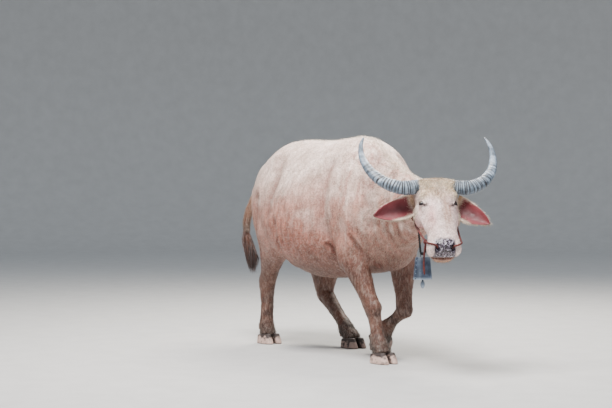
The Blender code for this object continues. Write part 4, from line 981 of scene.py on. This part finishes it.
def layStrands(bm, points, radius, pitch, strands=3, sides=6, taper=None):
    rows, at = spaced(points, cordSettings["step"])
    along, normals, others = framesAlong(rows)
    for strand in range(strands):
        turn = 2 * math.pi * (at / pitch + strand / strands)
        out = normals * np.cos(turn)[:, None] + others * np.sin(turn)[:, None]
        size = np.ones(len(rows)) if taper is None else taper(at / at[-1])
        line = rows + out * (radius * 0.47 * size)[:, None]
        extrudeRings(bm, list(ringsRound(line, radius * 0.56 * size, sides)))


def laidOn(tree, point, lift):
    spot, normal, _, _ = tree.find_nearest(point)
    return spot + normal * lift


def easedOver(points, tree, lift):
    for _ in range(9):
        middles = [(a + b * 2 + c) / 4 for a, b, c in zip(points, points[1:], points[2:])]
        points = [points[0], *middles, points[-1]]
        for i, point in enumerate(points):
            spot, normal, _, _ = tree.find_nearest(point)
            height = (point - spot).dot(normal)
            if height < lift:
                points[i] = point + normal * (lift - height)
    return points


def collarRoute(tree):
    nape, side = Vector(cordSettings["nape"]) + shift, Vector(cordSettings["side"]) + shift
    axis = (side - nape).normalized()
    centre = nape.lerp(side, 0.75)
    radius = cordSettings["collar"]["radius"]
    points = []
    for step in range(-16, 17):
        turn = math.radians(step * 7.75)
        ray = -axis * math.cos(turn) + Vector((0, 1, 0)) * math.sin(turn)
        spot, normal, _, _ = tree.ray_cast(centre + ray * 0.5, -ray)
        points.append(spot + normal * (radius * 0.8))
    points = easedOver(points, tree, radius * 0.8)
    top = Vector(bellSettings["top"]) + shift
    low = top + Vector((0, 0, bellSettings["loop"][1] - bellSettings["wire"] - radius - 0.0006))
    left, right = points[-1], points[0]
    inLeft, inRight = low + Vector((0, 2.2 * radius, 1.4 * radius)), low - Vector((0, 2.2 * radius, -1.4 * radius))
    return [
        low, inRight, right.lerp(inRight, 0.66), right.lerp(inRight, 0.33), *points,
        left.lerp(inLeft, 0.33), left.lerp(inLeft, 0.66), inLeft, low,
    ]


def noseRoute(tree, collar):
    lift = cordSettings["rope"]["radius"] + cordSettings["rope"]["lift"]
    path = cordSettings["nose"]
    places = [(x, -y, z) for x, y, z in path] + [(x, y, z) for x, y, z in reversed(path[:-1])]
    route = [laidOn(tree, head @ Vector(place), lift) for place in places]
    points = easedOver([Vector(point) for point in curveThrough(route, 4)], tree, lift)
    gaps = lineDistance(np.array([tuple(point) for point in points]), [tuple(spot) for spot in collar])
    for i, gap in enumerate(gaps):
        _, normal, _, _ = tree.find_nearest(points[i])
        reach = min(1.0, gap / cordSettings["humpReach"])
        points[i] += normal * (cordSettings["hump"] * (0.5 + 0.5 * math.cos(math.pi * reach)))
    x, y, z = headPose["nostril"]
    points[0], points[-1] = fromHead((x - 0.004, y, z - 0.004), -1), fromHead((x - 0.004, y, z - 0.004), 1)
    return points


def makeNoseRope(tree, collar):
    rope = cordSettings["rope"]
    points = noseRoute(tree, collar)
    bm = bmesh.new()
    layStrands(bm, curveThrough(points, 3), rope["radius"], rope["pitch"])
    x, y, z = cordSettings["nose"][2]
    knot = laidOn(tree, fromHead((x, y, z), -1), cordSettings["knot"] * 0.9)
    for turn in range(2):                     # two turns of the knot, and the bight through it
        tilt = Matrix.Rotation(math.radians(18 + 34 * turn), 3, "X")
        loop = [
            knot + tilt @ Vector((0.0075 * math.cos(t), 0.0095 * math.sin(t), 0.0045 * (turn * 2 - 1)))
            for t in np.linspace(0, 2 * math.pi, 25)
        ]
        layStrands(bm, loop, rope["radius"] * 0.80, rope["pitch"] * 0.7)
    bight = [knot + Vector((0.004, -0.003, 0.014 * c)) for c in np.linspace(1, -1, 9)]
    layStrands(bm, bight, rope["radius"] * 0.85, rope["pitch"])
    bmesh.ops.recalc_face_normals(bm, faces=bm.faces)
    return makeObject(bm, "nose_rope_laid"), knot


def makeRopeEnd(knot):
    rope = cordSettings["rope"]
    away = headTurn.to_3x3() @ Vector((0, -1, 0))
    away = Vector((away.x, away.y, 0)).normalized()
    start = knot + Vector((0, 0, -cordSettings["knot"] - 0.0003))
    route = []
    for step in range(cordSettings["endPoints"]):
        t = step / (cordSettings["endPoints"] - 1)
        sway = 0.010 * math.sin(math.pi * 0.8 * t)
        route.append(start + away * sway - Vector((0, 0, t * cordSettings["endLength"])))
    bm = bmesh.new()
    layStrands(
        bm, curveThrough(route, 4), rope["radius"], rope["pitch"],
        taper=lambda share: 1 - 0.35 * ramp(share, 0.93, 1.0),
    )
    bmesh.ops.recalc_face_normals(bm, faces=bm.faces)
    return makeObject(bm, "rope_end_laid"), route


def cordMaterial(name, dark, light, roughness=0.85):
    material, tree, shader = newMaterial(name, roughness)
    dirt = banded(tree, noiseOn(tree, 30, 5, 0.7), (0.35, dark), (0.70, light))
    fibres = banded(tree, noiseOn(tree, 700, 3, 0.7, (1, 1, 0.35)), (0.35, 0.55), (0.65, 1.15))
    tree.links.new(blended(tree, 0.8, dirt, fibres, "MULTIPLY"), shader.inputs["Base Color"])
    bumped(
        tree, shader, (noiseOn(tree, 900, 3, 0.7, (1, 1, 0.3)), 0.7, 0.0008), (noiseOn(tree, 90, 3), 0.3, 0.001)
    )
    return material


# Bell: folded sheet with riveted side seams, and the clapper that hangs in it
bellSettings = {
    "top": (1.004, -0.062, 0.622),
    "height": 0.126,
    "wall": 0.003,
    "topHalf": (0.037, 0.026),
    "mouthHalf": (0.052, 0.036),
    "loop": (0.018, 0.026),
    "wire": 0.0028,
    "drop": 0.152,
    "clapper": (0.0125, 0.022),
    "rod": 0.003,
    "around": 64,
    "rivets": 5,
}


def bellRing(top, drop, grow):
    half = [t + (m - t) * grow for t, m in zip(bellSettings["topHalf"], bellSettings["mouthHalf"])]
    angles = np.linspace(0, 2 * math.pi, bellSettings["around"], endpoint=False)
    c, d = np.cos(angles), np.sin(angles)
    a, b = np.sign(c) * np.sqrt(np.abs(c)), np.sign(d) * np.sqrt(np.abs(d))
    return np.stack((top.x + half[1] * a, top.y + half[0] * b, 0 * a + top.z - drop), 1)


def makeBell():
    top = Vector(bellSettings["top"]) + shift
    height = bellSettings["height"]
    bm = bmesh.new()
    drops = [0.0, 0.0004, 0.012] + [0.012 + 0.114 * i / 14 for i in range(1, 15)]
    rings = [bellRing(top, drop, float(np.interp(drop / height, (0, 0.095, 1), (0, 0.35, 1)))) for drop in drops]
    extrudeRings(bm, rings, caps=False)
    rim = [edge for edge in bm.edges if edge.is_boundary and edge.verts[0].co.z > top.z - 0.0002]
    bmesh.ops.contextual_create(bm, geom=rim)
    bmesh.ops.recalc_face_normals(bm, faces=bm.faces)
    cup = makeObject(bm, "bell_sheet")
    points = pointsOf(cup.data)
    dent = 0.0022 * (cloud(points, 0.030, 21) - 0.62) * ramp(top.z - points[:, 2], 0.004, 0.03)
    setPoints(cup.data, points + normalsOf(cup.data) * np.minimum(dent, 0)[:, None])
    wall = cup.modifiers.new("wall", "SOLIDIFY")
    wall.thickness = bellSettings["wall"]
    wall.offset = -1.0
    applyModifiers(cup)
    bm = bmesh.new()
    bm.from_mesh(cup.data)
    for s in (1, -1):                         # a folded seam down each narrow side, with its rivets
        line = []
        for drop in np.linspace(0.004, height - 0.002, 16):
            grow = float(np.interp(drop / height, (0, 0.095, 1), (0, 0.35, 1)))
            half = bellSettings["topHalf"][0] + (bellSettings["mouthHalf"][0] - bellSettings["topHalf"][0]) * grow
            line.append((top.x, top.y + s * (half - 0.0012), top.z - drop))
        rings = ringsRound(np.array(line), 0.0022, 8)
        extrudeRings(bm, list((rings - np.array(line)[:, None]) * (3.2, 1, 1) + np.array(line)[:, None]))
        for i in range(bellSettings["rivets"]):
            x, y, z = np.array(line)[int((i + 0.7) * 15 / bellSettings["rivets"])]
            place = Matrix.Translation((x, y + s * 0.0016, z)) @ Matrix.Diagonal((1, 0.6, 1, 1))
            bmesh.ops.create_uvsphere(bm, u_segments=12, v_segments=8, radius=0.0032, matrix=place)
    turns = np.radians(np.linspace(-112, 112, 29))
    arch = np.stack((
        top.x + bellSettings["loop"][0] * np.sin(turns), top.y + 0 * turns,
        top.z + bellSettings["loop"][1] * np.cos(turns),
    ), 1)
    extrudeRings(bm, list(ringsRound(arch, bellSettings["wire"], 12)))
    bm.to_mesh(cup.data)
    bm.free()
    cup.data.shade_smooth()
    cup.data.set_sharp_from_angle(angle=math.radians(40))
    return cup


def makeClapper():
    top = Vector(bellSettings["top"]) + shift - Vector((0, 0, bellSettings["wall"] + 0.0003))
    half, length = bellSettings["clapper"]
    drops = [0.0, 0.002, 0.05, 0.10]
    sizes = [bellSettings["rod"]] * 4
    for turn in np.linspace(0.12 * math.pi, 0.94 * math.pi, 16):
        drops.append(bellSettings["drop"] - length * math.cos(turn))
        sizes.append(max(bellSettings["rod"], half * math.sin(turn)))
    rows = np.array([(top.x, top.y, top.z - drop) for drop in drops])
    bm = bmesh.new()
    extrudeRings(bm, list(ringsRound(rows, sizes, 20)))
    bmesh.ops.recalc_face_normals(bm, faces=bm.faces)
    return makeObject(bm, "clapper_drop")


def metalMaterial():
    material, tree, shader = newMaterial("bellSheet", 0.5, 0.55)
    sheet = banded(
        tree, noiseOn(tree, 22, 6, 0.65), (0.30, linear(34, 42, 56)), (0.52, linear(66, 80, 102)),
        (0.75, linear(124, 140, 164)),
    )
    # Pale sharp edges: partly worn paint, partly a painted highlight
    edge = addNode(tree, "ShaderNodeNewGeometry").outputs["Pointiness"]
    wornEdgeAndHighlight = banded(tree, edge, (0.50, 0.0), (0.56, 1.0))
    colour = blended(tree, wornEdgeAndHighlight, sheet, linear(176, 190, 206))
    rust = banded(tree, noiseOn(tree, 60, 6, 0.75), (0.56, 0.0), (0.72, 0.7))
    tree.links.new(blended(tree, rust, colour, linear(78, 52, 42)), shader.inputs["Base Color"])
    rough = banded(tree, noiseOn(tree, 50, 5), (0.3, 0.34), (0.7, 0.62))
    tree.links.new(rough, shader.inputs["Roughness"])
    bumped(tree, shader, (noiseOn(tree, 70, 6, 0.7), 0.3, 0.0015), (noiseOn(tree, 300, 3), 0.2, 0.0005))
    return material


# Claws: the solids' claws made fine, with growth rings, chips and dirt, and painted shade between the claws and on
# the left hooves and the dewclaws
clawSettings = {"voxel": 0.0028, "smooth": 5, "ring": 0.0075}


def makeClaw(node):
    bm = bmesh.new()
    bm.from_mesh(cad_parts[node].data)
    bmesh.ops.remove_doubles(bm, verts=bm.verts, dist=0.00001)
    claw = makeObject(bm, node + "_horn")
    remesh = claw.modifiers.new("remesh", "REMESH")
    remesh.mode = "VOXEL"
    remesh.voxel_size = clawSettings["voxel"] * (0.6 if "dewclaw" in node else 1.0)
    soften = claw.modifiers.new("soften", "SMOOTH")
    soften.iterations = clawSettings["smooth"]
    applyModifiers(claw)
    low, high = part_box(node)
    points, normals = pointsOf(claw.data), normalsOf(claw.data)
    height = points[:, 2] - low.z
    wall = ramp(1 - np.abs(normals[:, 2]), 0.15, 0.5)
    bend = height + 0.010 * (cloud(points, 0.05, 22) - 0.5)
    rings = np.sin(2 * math.pi * bend / clawSettings["ring"])
    chips = ramp(cloud(points, 0.009, 23), 0.62, 0.80) * (1 - ramp(height, 0.004, 0.014))
    push = wall * (0.00035 * rings - 0.0006) - 0.0022 * chips * wall
    push += 0.0007 * (cloud(points, 0.006, 24) - 0.5) * wall
    points = points + normals * push[:, None]
    points[:, 2] = np.maximum(points[:, 2], low.z)
    setPoints(claw.data, points)
    tall = height / max(0.001, high.z - low.z)
    inner = np.clip(np.abs(points[:, 1] - innerEdge(node, low, high)) / 0.030, 0, 1)
    # Dirt towards the coronet; painted shade along the inner edge, where the two claws meet
    dirt = ramp(tall + 0.5 * (cloud(points, 0.016, 25) - 0.5), 0.50, 0.86) + 0.95 * (1 - ramp(inner, 0.05, 0.5))
    dirt += 0.75 * (1 - ramp(height, 0.0, 0.006)) + 0.5 * ramp(cloud(points, 0.014, 26), 0.55, 0.8)
    # Painted shade: the left claws and the dewclaws darker still
    if "dewclaw" in node or "hind_left" in node or "fore_left" in node:
        dirt += 0.55
    pale = np.array(linear(214, 184, 172)) * (1 + 0.05 * rings[:, None])
    dirt = np.clip(dirt, 0, 0.97)[:, None]
    paintPoints(claw.data, "marking", pale * (1 - dirt) + np.array(linear(46, 36, 34)) * dirt)
    return claw


def innerEdge(node, low, high):
    return low.y if node.endswith("left") else high.y


def clawMaterial():
    material, tree, shader = newMaterial("claw", 0.55)
    streaks = banded(tree, noiseOn(tree, 220, 4, 0.6, (1, 1, 0.12)), (0.34, (0.72, 0.70, 0.68)), (0.62, (1.08, 1.06, 1.04)))
    colour = blended(tree, 0.8, attributeOn(tree, "marking"), streaks, "MULTIPLY")
    tree.links.new(colour, shader.inputs["Base Color"])
    bumped(
        tree, shader, (noiseOn(tree, 240, 4, 0.6, (1, 1, 0.15)), 0.4, 0.0012), (noiseOn(tree, 60, 5), 0.3, 0.002)
    )
    return material


# Hair: every tuft is a thin closed blade of three sides that tapers to its tip
def meshFromArrays(name, verts, tris):
    mesh = bpy.data.meshes.new(name)
    mesh.vertices.add(len(verts))
    mesh.vertices.foreach_set("co", verts.astype(np.float32).ravel())
    mesh.loops.add(len(tris) * 3)
    mesh.loops.foreach_set("vertex_index", tris.astype(np.int32).ravel())
    mesh.polygons.add(len(tris))
    mesh.polygons.foreach_set("loop_start", np.arange(0, len(tris) * 3, 3, dtype=np.int32))
    mesh.update(calc_edges=True)
    return mesh


# paths: places along each tuft from root to tip; widths: half width at each place but the tip
def tuftMesh(name, paths, across, upward, widths, flat, colours, patches):
    count, stations = paths.shape[0], paths.shape[1]
    rings = stations - 1
    wide = across[:, None] * widths[..., None]
    high = upward[:, None] * (widths * flat)[..., None]
    body = paths[:, :-1]
    corners = np.stack((body + wide, body + high, body - wide), 2).reshape(count, rings * 3, 3)
    verts = np.concatenate((corners, paths[:, -1:]), 1)
    tris = [(0, 1, 2)]
    for r in range(rings - 1):
        for k in range(3):
            a, b = 3 * r + k, 3 * r + (k + 1) % 3
            tris += [(a, b + 3, b), (a, a + 3, b + 3)]
    last = 3 * (rings - 1)
    tris += [(last + k, 3 * rings, last + (k + 1) % 3) for k in range(3)]
    tris = np.array(tris)
    first = verts[0][tris]
    volume = np.einsum("ij,ij->i", first[:, 0], np.cross(first[:, 1], first[:, 2])).sum()
    if volume < 0:
        tris = tris[:, ::-1]
    perTuft = rings * 3 + 1
    allTris = (tris[None] + (np.arange(count) * perTuft)[:, None, None]).reshape(-1, 3)
    mesh = meshFromArrays(name, verts.reshape(-1, 3), allTris)
    mesh.shade_smooth()
    paintPoints(mesh, "marking", np.repeat(colours, perTuft, axis=0))
    spread = np.zeros((perTuft, 2))
    for r in range(rings):
        for k in range(3):
            spread[3 * r + k] = ((k - 1) * 0.0014, (r / rings - 0.5) * 0.0028)
    spread[-1] = (0, 0.0014)
    places = (patches[:, None] + spread[None]).reshape(-1, 2)
    uv = mesh.uv_layers.new(name="OFBake")
    uv.data.foreach_set("uv", places[allTris.ravel()].astype(np.float32).ravel())
    return mesh


# The skin unrolled region by region: round the trunk with the tail, the head and each leg
def unrolled(points):
    body = points - np.array(shift)
    local = inHead(points)
    face = zoneWeights(points)[2] > 0.5
    leg = (body[:, 2] < 0.52) & ~face & (body[:, 0] > -0.75)
    turn = np.arctan2(body[:, 1], body[:, 2] - 0.86) / (2 * math.pi) + 0.5
    places = np.stack((0.02 + 0.96 * (body[:, 0] + 1.0) / 2.2, 0.02 + 0.46 * turn), 1)
    turn = np.arctan2(local[:, 1], local[:, 2] + 0.09) / (2 * math.pi) + 0.5
    headPlaces = np.stack((0.02 + 0.46 * (local[:, 0] + 0.15) / 0.7, 0.52 + 0.22 * turn), 1)
    places = np.where(face[:, None], headPlaces, places)
    for i, (name, joints) in enumerate(legJoints.items()):
        s = np.sign(joints[0][1])
        front = (body[:, 0] > 0.18) == name.startswith("fore")
        mine = leg & front & (np.sign(body[:, 1]) == s)
        centre = [np.interp(body[:, 2], [row[2] for row in joints[::-1]], [row[k] for row in joints[::-1]]) for k in (0, 1)]
        turn = np.arctan2(body[:, 1] - centre[1], body[:, 0] - centre[0]) / (2 * math.pi) + 0.5
        legPlaces = np.stack((0.02 + 0.24 * i + 0.21 * turn, 0.77 + 0.21 * body[:, 2] / 0.55), 1)
        places = np.where(mine[:, None], legPlaces, places)
    return np.clip(places, 0.003, 0.997)


# Coat: short hair that lies along the flow of the skin, longer where the form needs it
coatSettings = {
    "trunk": {"count": 15000, "length": (0.010, 0.022), "width": 0.00085, "lift": 0.16, "pale": 0.30},
    "neck": {"count": 9000, "length": (0.010, 0.024), "width": 0.00085, "lift": 0.18, "pale": 0.28},
    "legs": {"count": 9000, "length": (0.008, 0.018), "width": 0.00080, "lift": 0.20, "pale": 0.08},
    "face": {"count": 9000, "length": (0.004, 0.010), "width": 0.00055, "lift": 0.20, "pale": 0.25},
    "crown": {"count": 3000, "length": (0.010, 0.026), "width": 0.00075, "lift": 0.26, "pale": 0.70},
    "crest": {"count": 1800, "length": (0.016, 0.034), "width": 0.00080, "lift": 0.36, "pale": 0.90},
    "ears": {"count": 3000, "length": (0.010, 0.030), "width": 0.00065, "lift": 0.40, "pale": 0.62},
    "feet": {"count": 2600, "length": (0.014, 0.030), "width": 0.00095, "lift": 0.30, "pale": 0.12},
    "chin": {"count": 420, "length": (0.010, 0.022), "width": 0.00045, "lift": 0.70, "pale": 0.55},
    "tail": {"count": 2200, "length": (0.018, 0.036), "width": 0.00095, "lift": 0.24, "pale": 0.15},
}


def coatShare(name, points, normals):
    body = points - np.array(shift)
    local = inHead(points)
    face = zoneWeights(points)[2]
    along, over, facing = earPlaces(local, normals @ headOut)
    ear = along > 0.02
    limb = ramp(-body[:, 2], -0.62, -0.52) * (1 - face)
    tail = 1 - ramp(body[:, 0], -0.80, -0.76)
    if name == "trunk":
        return (1 - face) * (1 - limb) * (1 - tail) * (1 - ramp(body[:, 0], 0.55, 0.72))
    if name == "neck":
        return (1 - face) * (1 - limb) * ramp(body[:, 0], 0.55, 0.72)
    if name == "legs":
        return limb * (1 - tail)
    if name == "face":
        pad = ramp(local[:, 0] + 0.42 * (local[:, 2] + 0.03), 0.415, 0.435) * (np.abs(local[:, 1]) < 0.062)
        eyes = np.stack((local[:, 0], np.abs(local[:, 1]), local[:, 2]), 1)
        clear = np.linalg.norm(eyes - np.array(eyeSettings["centre"]), axis=1) > 0.029
        lips = np.abs(local[:, 2] + mouthHeight(local[:, 0])) > 0.010
        return face * (1 - pad) * clear * ~ear * (lips | (local[:, 0] < 0.33))
    if name == "crown":
        return face * ramp(-local[:, 0], -0.17, -0.01) * (local[:, 2] > -0.06) * (np.abs(local[:, 1]) < 0.10)
    if name == "crest":
        ridge = near(body * (1, 1, 0), (0.75, -0.02, 0), (0.36, 0.028, 1)) * (normals[:, 2] > 0.3)
        return ridge + 0.25 * near(body, (0.2, 0, 1.31), (0.7, 0.03, 0.05))
    if name == "ears":
        rim = ramp(np.abs(over), 0.74, 0.98) + 0.35 * (1 - ramp(along, 0.06, 0.26))
        return ear * (rim + 0.5 * (facing < 0.05))
    if name == "feet":
        return limb * near(body * (0, 0, 1), (0, 0, 0.085), (1, 1, 0.050)) * (1 - tail)
    if name == "chin":
        return near(local, (0.43, 0, -0.145), (0.07, 0.08, 0.03)) * face
    return tail * (body[:, 2] > 0.70) * (body[:, 2] < 1.12)


def coatFlow(name, points, normals):
    body = points - np.array(shift)
    local = inHead(points)
    face = zoneWeights(points)[2][:, None]
    foot = ramp(-body[:, 2], -0.62, -0.46)[:, None]
    neck = ramp(body[:, 0], 0.45, 0.85)[:, None]
    flow = np.array((-0.9, 0, -0.45)) * (1 - neck) + np.array((-0.55, 0, -0.85)) * neck
    flow = flow * (1 - foot) + np.array((0, 0, -1.0)) * foot
    out = np.sign(local[:, 1])[:, None] * np.clip(np.abs(local[:, 1]) / 0.06, 0, 1)[:, None]
    down = np.stack((np.ones(len(points)), 0.35 * out[:, 0], 0 * out[:, 0]), 1) @ headOut.T
    flow = flow * (1 - face) + down * face
    if name == "ears":
        for side, s in sides:
            root, reach, opening, across = earFrame(side, s)
            rim = np.sign((local - root) @ across)[:, None]
            mine = (local[:, 1] * s > 0)[:, None]
            flow = np.where(mine, (reach + 0.45 * rim * across) @ headOut.T, flow)
    if name in ("tail", "feet"):
        flow = np.tile((0.0, 0.0, -1.0), (len(points), 1))
    flow = flow - normals * (flow * normals).sum(1)[:, None]
    return unit(flow)


def makeCoat(skin):
    mesh = skin.data
    mesh.calc_loop_triangles()
    corners = np.empty(len(mesh.loop_triangles) * 3, np.int32)
    mesh.loop_triangles.foreach_get("vertices", corners)
    corners = corners.reshape(-1, 3)
    points, normals = pointsOf(mesh), normalsOf(mesh)
    a, b, c = points[corners[:, 0]], points[corners[:, 1]], points[corners[:, 2]]
    areas = np.linalg.norm(np.cross(b - a, c - a), axis=1) / 2
    centres, facing = (a + b + c) / 3, unit(normals[corners].sum(1))
    pieces = []
    for name, look in coatSettings.items():
        share = areas * np.clip(coatShare(name, centres, facing), 0, None)
        count = look["count"]
        chosen = dice.choice(len(share), count, p=share / share.sum())
        u, v = dice.random((2, count))
        over = u + v > 1
        u[over], v[over] = 1 - u[over], 1 - v[over]
        w = 1 - u - v
        tri = corners[chosen]
        root = points[tri[:, 0]] * u[:, None] + points[tri[:, 1]] * v[:, None] + points[tri[:, 2]] * w[:, None]
        normal = unit(normals[tri].sum(1))
        flow = coatFlow(name, root, normal)
        side = np.cross(normal, flow)
        swirl = 1.1 * (cloud(root, 0.045, 41) - 0.5) + dice.normal(0, 0.16, count)
        flow = flow * np.cos(swirl)[:, None] + side * np.sin(swirl)[:, None]
        side = np.cross(normal, flow)
        length = dice.uniform(*look["length"], count)[:, None]
        lift = (look["lift"] * dice.uniform(0.5, 1.5, count))[:, None]
        bend = side * dice.normal(0, 0.10, count)[:, None]
        paths = np.stack((
            root - normal * 0.0012,
            root + length * (0.5 * flow + lift * 0.55 * normal + 0.3 * bend),
            root + length * (flow + lift * 0.70 * normal + bend),
        ), 1)
        width = look["width"] * dice.uniform(0.7, 1.3, count)[:, None] * np.array((1.0, 0.72))
        colour = hideColours(root, normal)
        pale = np.array(linear(240, 222, 198))
        mixed = look["pale"] * dice.uniform(0.6, 1.2, count)[:, None]
        colour = (colour * (1 - mixed) + pale * mixed) * dice.uniform(0.72, 1.12, count)[:, None]
        tufts = tuftMesh("coat_" + name, paths, side, normal, width, 0.55, colour, unrolled(root))
        pieces.append(addObject(tufts, "coat_" + name))
    return pieces


def coatMaterial():
    material, tree, shader = newMaterial("coat", 0.5)
    shader.inputs["Sheen Weight"].default_value = 0.15
    grain = banded(tree, noiseOn(tree, 900, 2), (0.3, 0.85), (0.7, 1.1))
    tree.links.new(blended(tree, 0.7, attributeOn(tree, "marking"), grain, "MULTIPLY"), shader.inputs["Base Color"])
    return material


# Tail switch: long locks that hang, spread a little and end in fine tips
switchSettings = {
    "locks": 420,
    "start": (-0.876, -0.106, 0.712),
    "end": (-0.846, -0.064, 0.530),
    "tip": 0.424,
}


def makeSwitch():
    start = np.array(switchSettings["start"]) + np.array(shift)
    axis = np.array(switchSettings["end"]) + np.array(shift) - start
    count = switchSettings["locks"]
    share = dice.uniform(-0.12, 0.80, count)
    turn = dice.uniform(0, 2 * math.pi, count)
    outward = np.stack((np.cos(turn), np.sin(turn), 0 * turn), 1)
    swell = 0.012 + 0.008 * np.sin(np.clip(share, 0, 1) * math.pi)
    root = start + share[:, None] * axis + outward * (swell * dice.uniform(0.5, 1, count))[:, None]
    length = np.minimum((root[:, 2] - switchSettings["tip"]), 0.22) * dice.uniform(0.70, 1.0, count)
    t = np.linspace(0, 1, 8)
    spread = 0.036 * np.sin(math.pi * np.minimum(t * 1.1, 1)) * (1 - 0.55 * t)
    wave = dice.uniform(-1, 1, (count, 2))
    sway = np.stack((wave[:, 0], wave[:, 1], 0 * wave[:, 0]), 1)
    lean = np.array((0.03, 0.06, -1.0))
    paths = (
        root[:, None] + lean * (t[None, :, None] * length[:, None, None])
        + outward[:, None] * spread[None, :, None] * dice.uniform(0.3, 1.0, count)[:, None, None]
        + sway[:, None] * (0.005 * np.sin(t * 7.0))[None, :, None]
    )
    paths[..., 2] = np.maximum(paths[..., 2], switchSettings["tip"])
    width = 0.0024 * dice.uniform(0.5, 1.3, count)[:, None] * (1 - t[:-1]) ** 0.6
    across = np.stack((-np.sin(turn), np.cos(turn), 0 * turn), 1)
    dark, brown = np.array(linear(40, 24, 22)), np.array(linear(104, 62, 44))
    mixed = (dice.random(count) ** 2 * 0.8 + 0.45 * (share < 0.15))[:, None].clip(0, 1)
    colour = dark * (1 - mixed) + brown * mixed
    patches = np.stack((turn / (2 * math.pi) * 0.98 + 0.01, 0.52 + 0.2 * np.clip(share, 0, 1)), 1)
    mesh = tuftMesh("switch_locks", paths, across, outward, width, 0.5, colour, patches)
    return addObject(mesh, "switch_locks")


# A pale round studio, its floor turned up into a wall far behind
stageSettings = {"floor": 13.0, "curve": 3.5, "wall": 4.5}


def makeStage():
    bm = bmesh.new()
    reach, bend = stageSettings["floor"], stageSettings["curve"]
    profile = [(0.0, 0.0), (reach * 0.5, 0.0), (reach, 0.0)]
    profile += [(reach + bend * math.sin(t), bend * (1 - math.cos(t))) for t in np.linspace(0.15, math.pi / 2, 10)]
    profile.append((reach + bend, bend + stageSettings["wall"]))
    verts = [bm.verts.new((x, 0, z)) for x, z in profile]
    edges = [bm.edges.new(pair) for pair in zip(verts, verts[1:])]
    bmesh.ops.spin(
        bm, geom=verts + edges, cent=(0, 0, 0), axis=(0, 0, 1), angle=2 * math.pi, steps=72, use_merge=True
    )
    bmesh.ops.remove_doubles(bm, verts=bm.verts, dist=0.0001)
    bmesh.ops.recalc_face_normals(bm, faces=bm.faces)
    material, tree, shader = newMaterial("floor", 0.9)
    colour = banded(tree, noiseOn(tree, 6, 6), (0.3, (0.50, 0.49, 0.48)), (0.7, (0.55, 0.54, 0.53)))
    tree.links.new(colour, shader.inputs["Base Color"])
    makeObject(bm, "floor", [material])
    world = bpy.data.worlds.new("studio")
    world.use_nodes = True
    world.node_tree.nodes["Background"].inputs["Color"].default_value = (0.78, 0.89, 1.0, 1)
    world.node_tree.nodes["Background"].inputs["Strength"].default_value = 0.62
    bpy.context.scene.world = world
    for name, place, size, power, colour in (
        ("keyLight", (0.9, -1.6, 5.0), 2.2, 640, (1.0, 0.97, 0.94)),
        ("fillLight", (6.0, -2.5, 2.2), 2.5, 90, (0.95, 0.97, 1.0)),
        ("rimLight", (-2.0, 2.4, 4.4), 2.2, 420, (1.0, 0.94, 0.84)),
    ):
        light = bpy.data.lights.new(name, "AREA")
        light.size = size
        light.energy = power
        light.color = colour
        lamp = bpy.data.objects.new(name, light)
        lamp.location = place
        lamp.rotation_euler = (Vector((0, 0, 0.6)) - lamp.location).to_track_quat("-Z", "Y").to_euler()
        bpy.context.scene.collection.objects.link(lamp)


makeCamera()
makeStage()
skin = makeSkin()
skin.data.materials.append(hideMaterial())
skinPoints, skinNormals = pointsOf(skin.data), normalsOf(skin.data)
paintPoints(skin.data, "marking", hideColours(skinPoints, skinNormals))
paintPoints(skin.data, "masks", hideMasks(skinPoints, skinNormals))
settle(skin, "hide", *fleshNodes)
print("skin done")
tree = BVHTree.FromPolygons(
    [Vector(point) for point in pointsOf(skin.data)], [list(face.vertices) for face in skin.data.polygons]
)
collarPoints = collarRoute(tree)
bm = bmesh.new()
layStrands(bm, curveThrough(collarPoints, 3), cordSettings["collar"]["radius"], cordSettings["collar"]["pitch"])
bmesh.ops.recalc_face_normals(bm, faces=bm.faces)
collar = makeObject(bm, "collar_laid")
collar.data.materials.append(cordMaterial("collarCord", linear(24, 24, 27), linear(62, 60, 62)))
settle(collar, "collar_cord", "collar")
noseRope, knot = makeNoseRope(tree, collarPoints)
ropeStuff = cordMaterial("rope", linear(54, 22, 22), linear(122, 54, 48))
noseRope.data.materials.append(ropeStuff)
settle(noseRope, "rope", "nose_rope")
ropeEnd, endRoute = makeRopeEnd(knot)
ropeEnd.data.materials.append(ropeStuff)
settle(ropeEnd, "rope", "nose_rope_end")
print("cords done")
horny, watery, hoofy = hornMaterial(), eyeMaterial(), clawMaterial()
for side, s in sides:
    horn = makeHorn(side, s)
    horn.data.materials.append(horny)
    settle(horn, "horn", "horn_" + side)
    eye = makeEye(side, s)
    eye.data.materials.append(watery)
    settle(eye, "eyeball", "eye_" + side)
for node in sorted(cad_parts):
    if node.startswith(("hoof_", "dewclaw_")):
        claw = makeClaw(node)
        claw.data.materials.append(hoofy)
        settle(claw, "claw", node)
tin = metalMaterial()
for piece, node in ((makeBell(), "bell"), (makeClapper(), "clapper")):
    piece.data.materials.append(tin)
    settle(piece, "bell_sheet", node)
print("horns, eyes, claws and bell done")
furry = coatMaterial()
switch = makeSwitch()
switch.data.materials.append(furry)
settle(switch, "switch_hair", "tail_switch")
for tufts in makeCoat(skin):
    tufts.data.materials.append(furry)
    settle(tufts, "hide")
print("coat done")
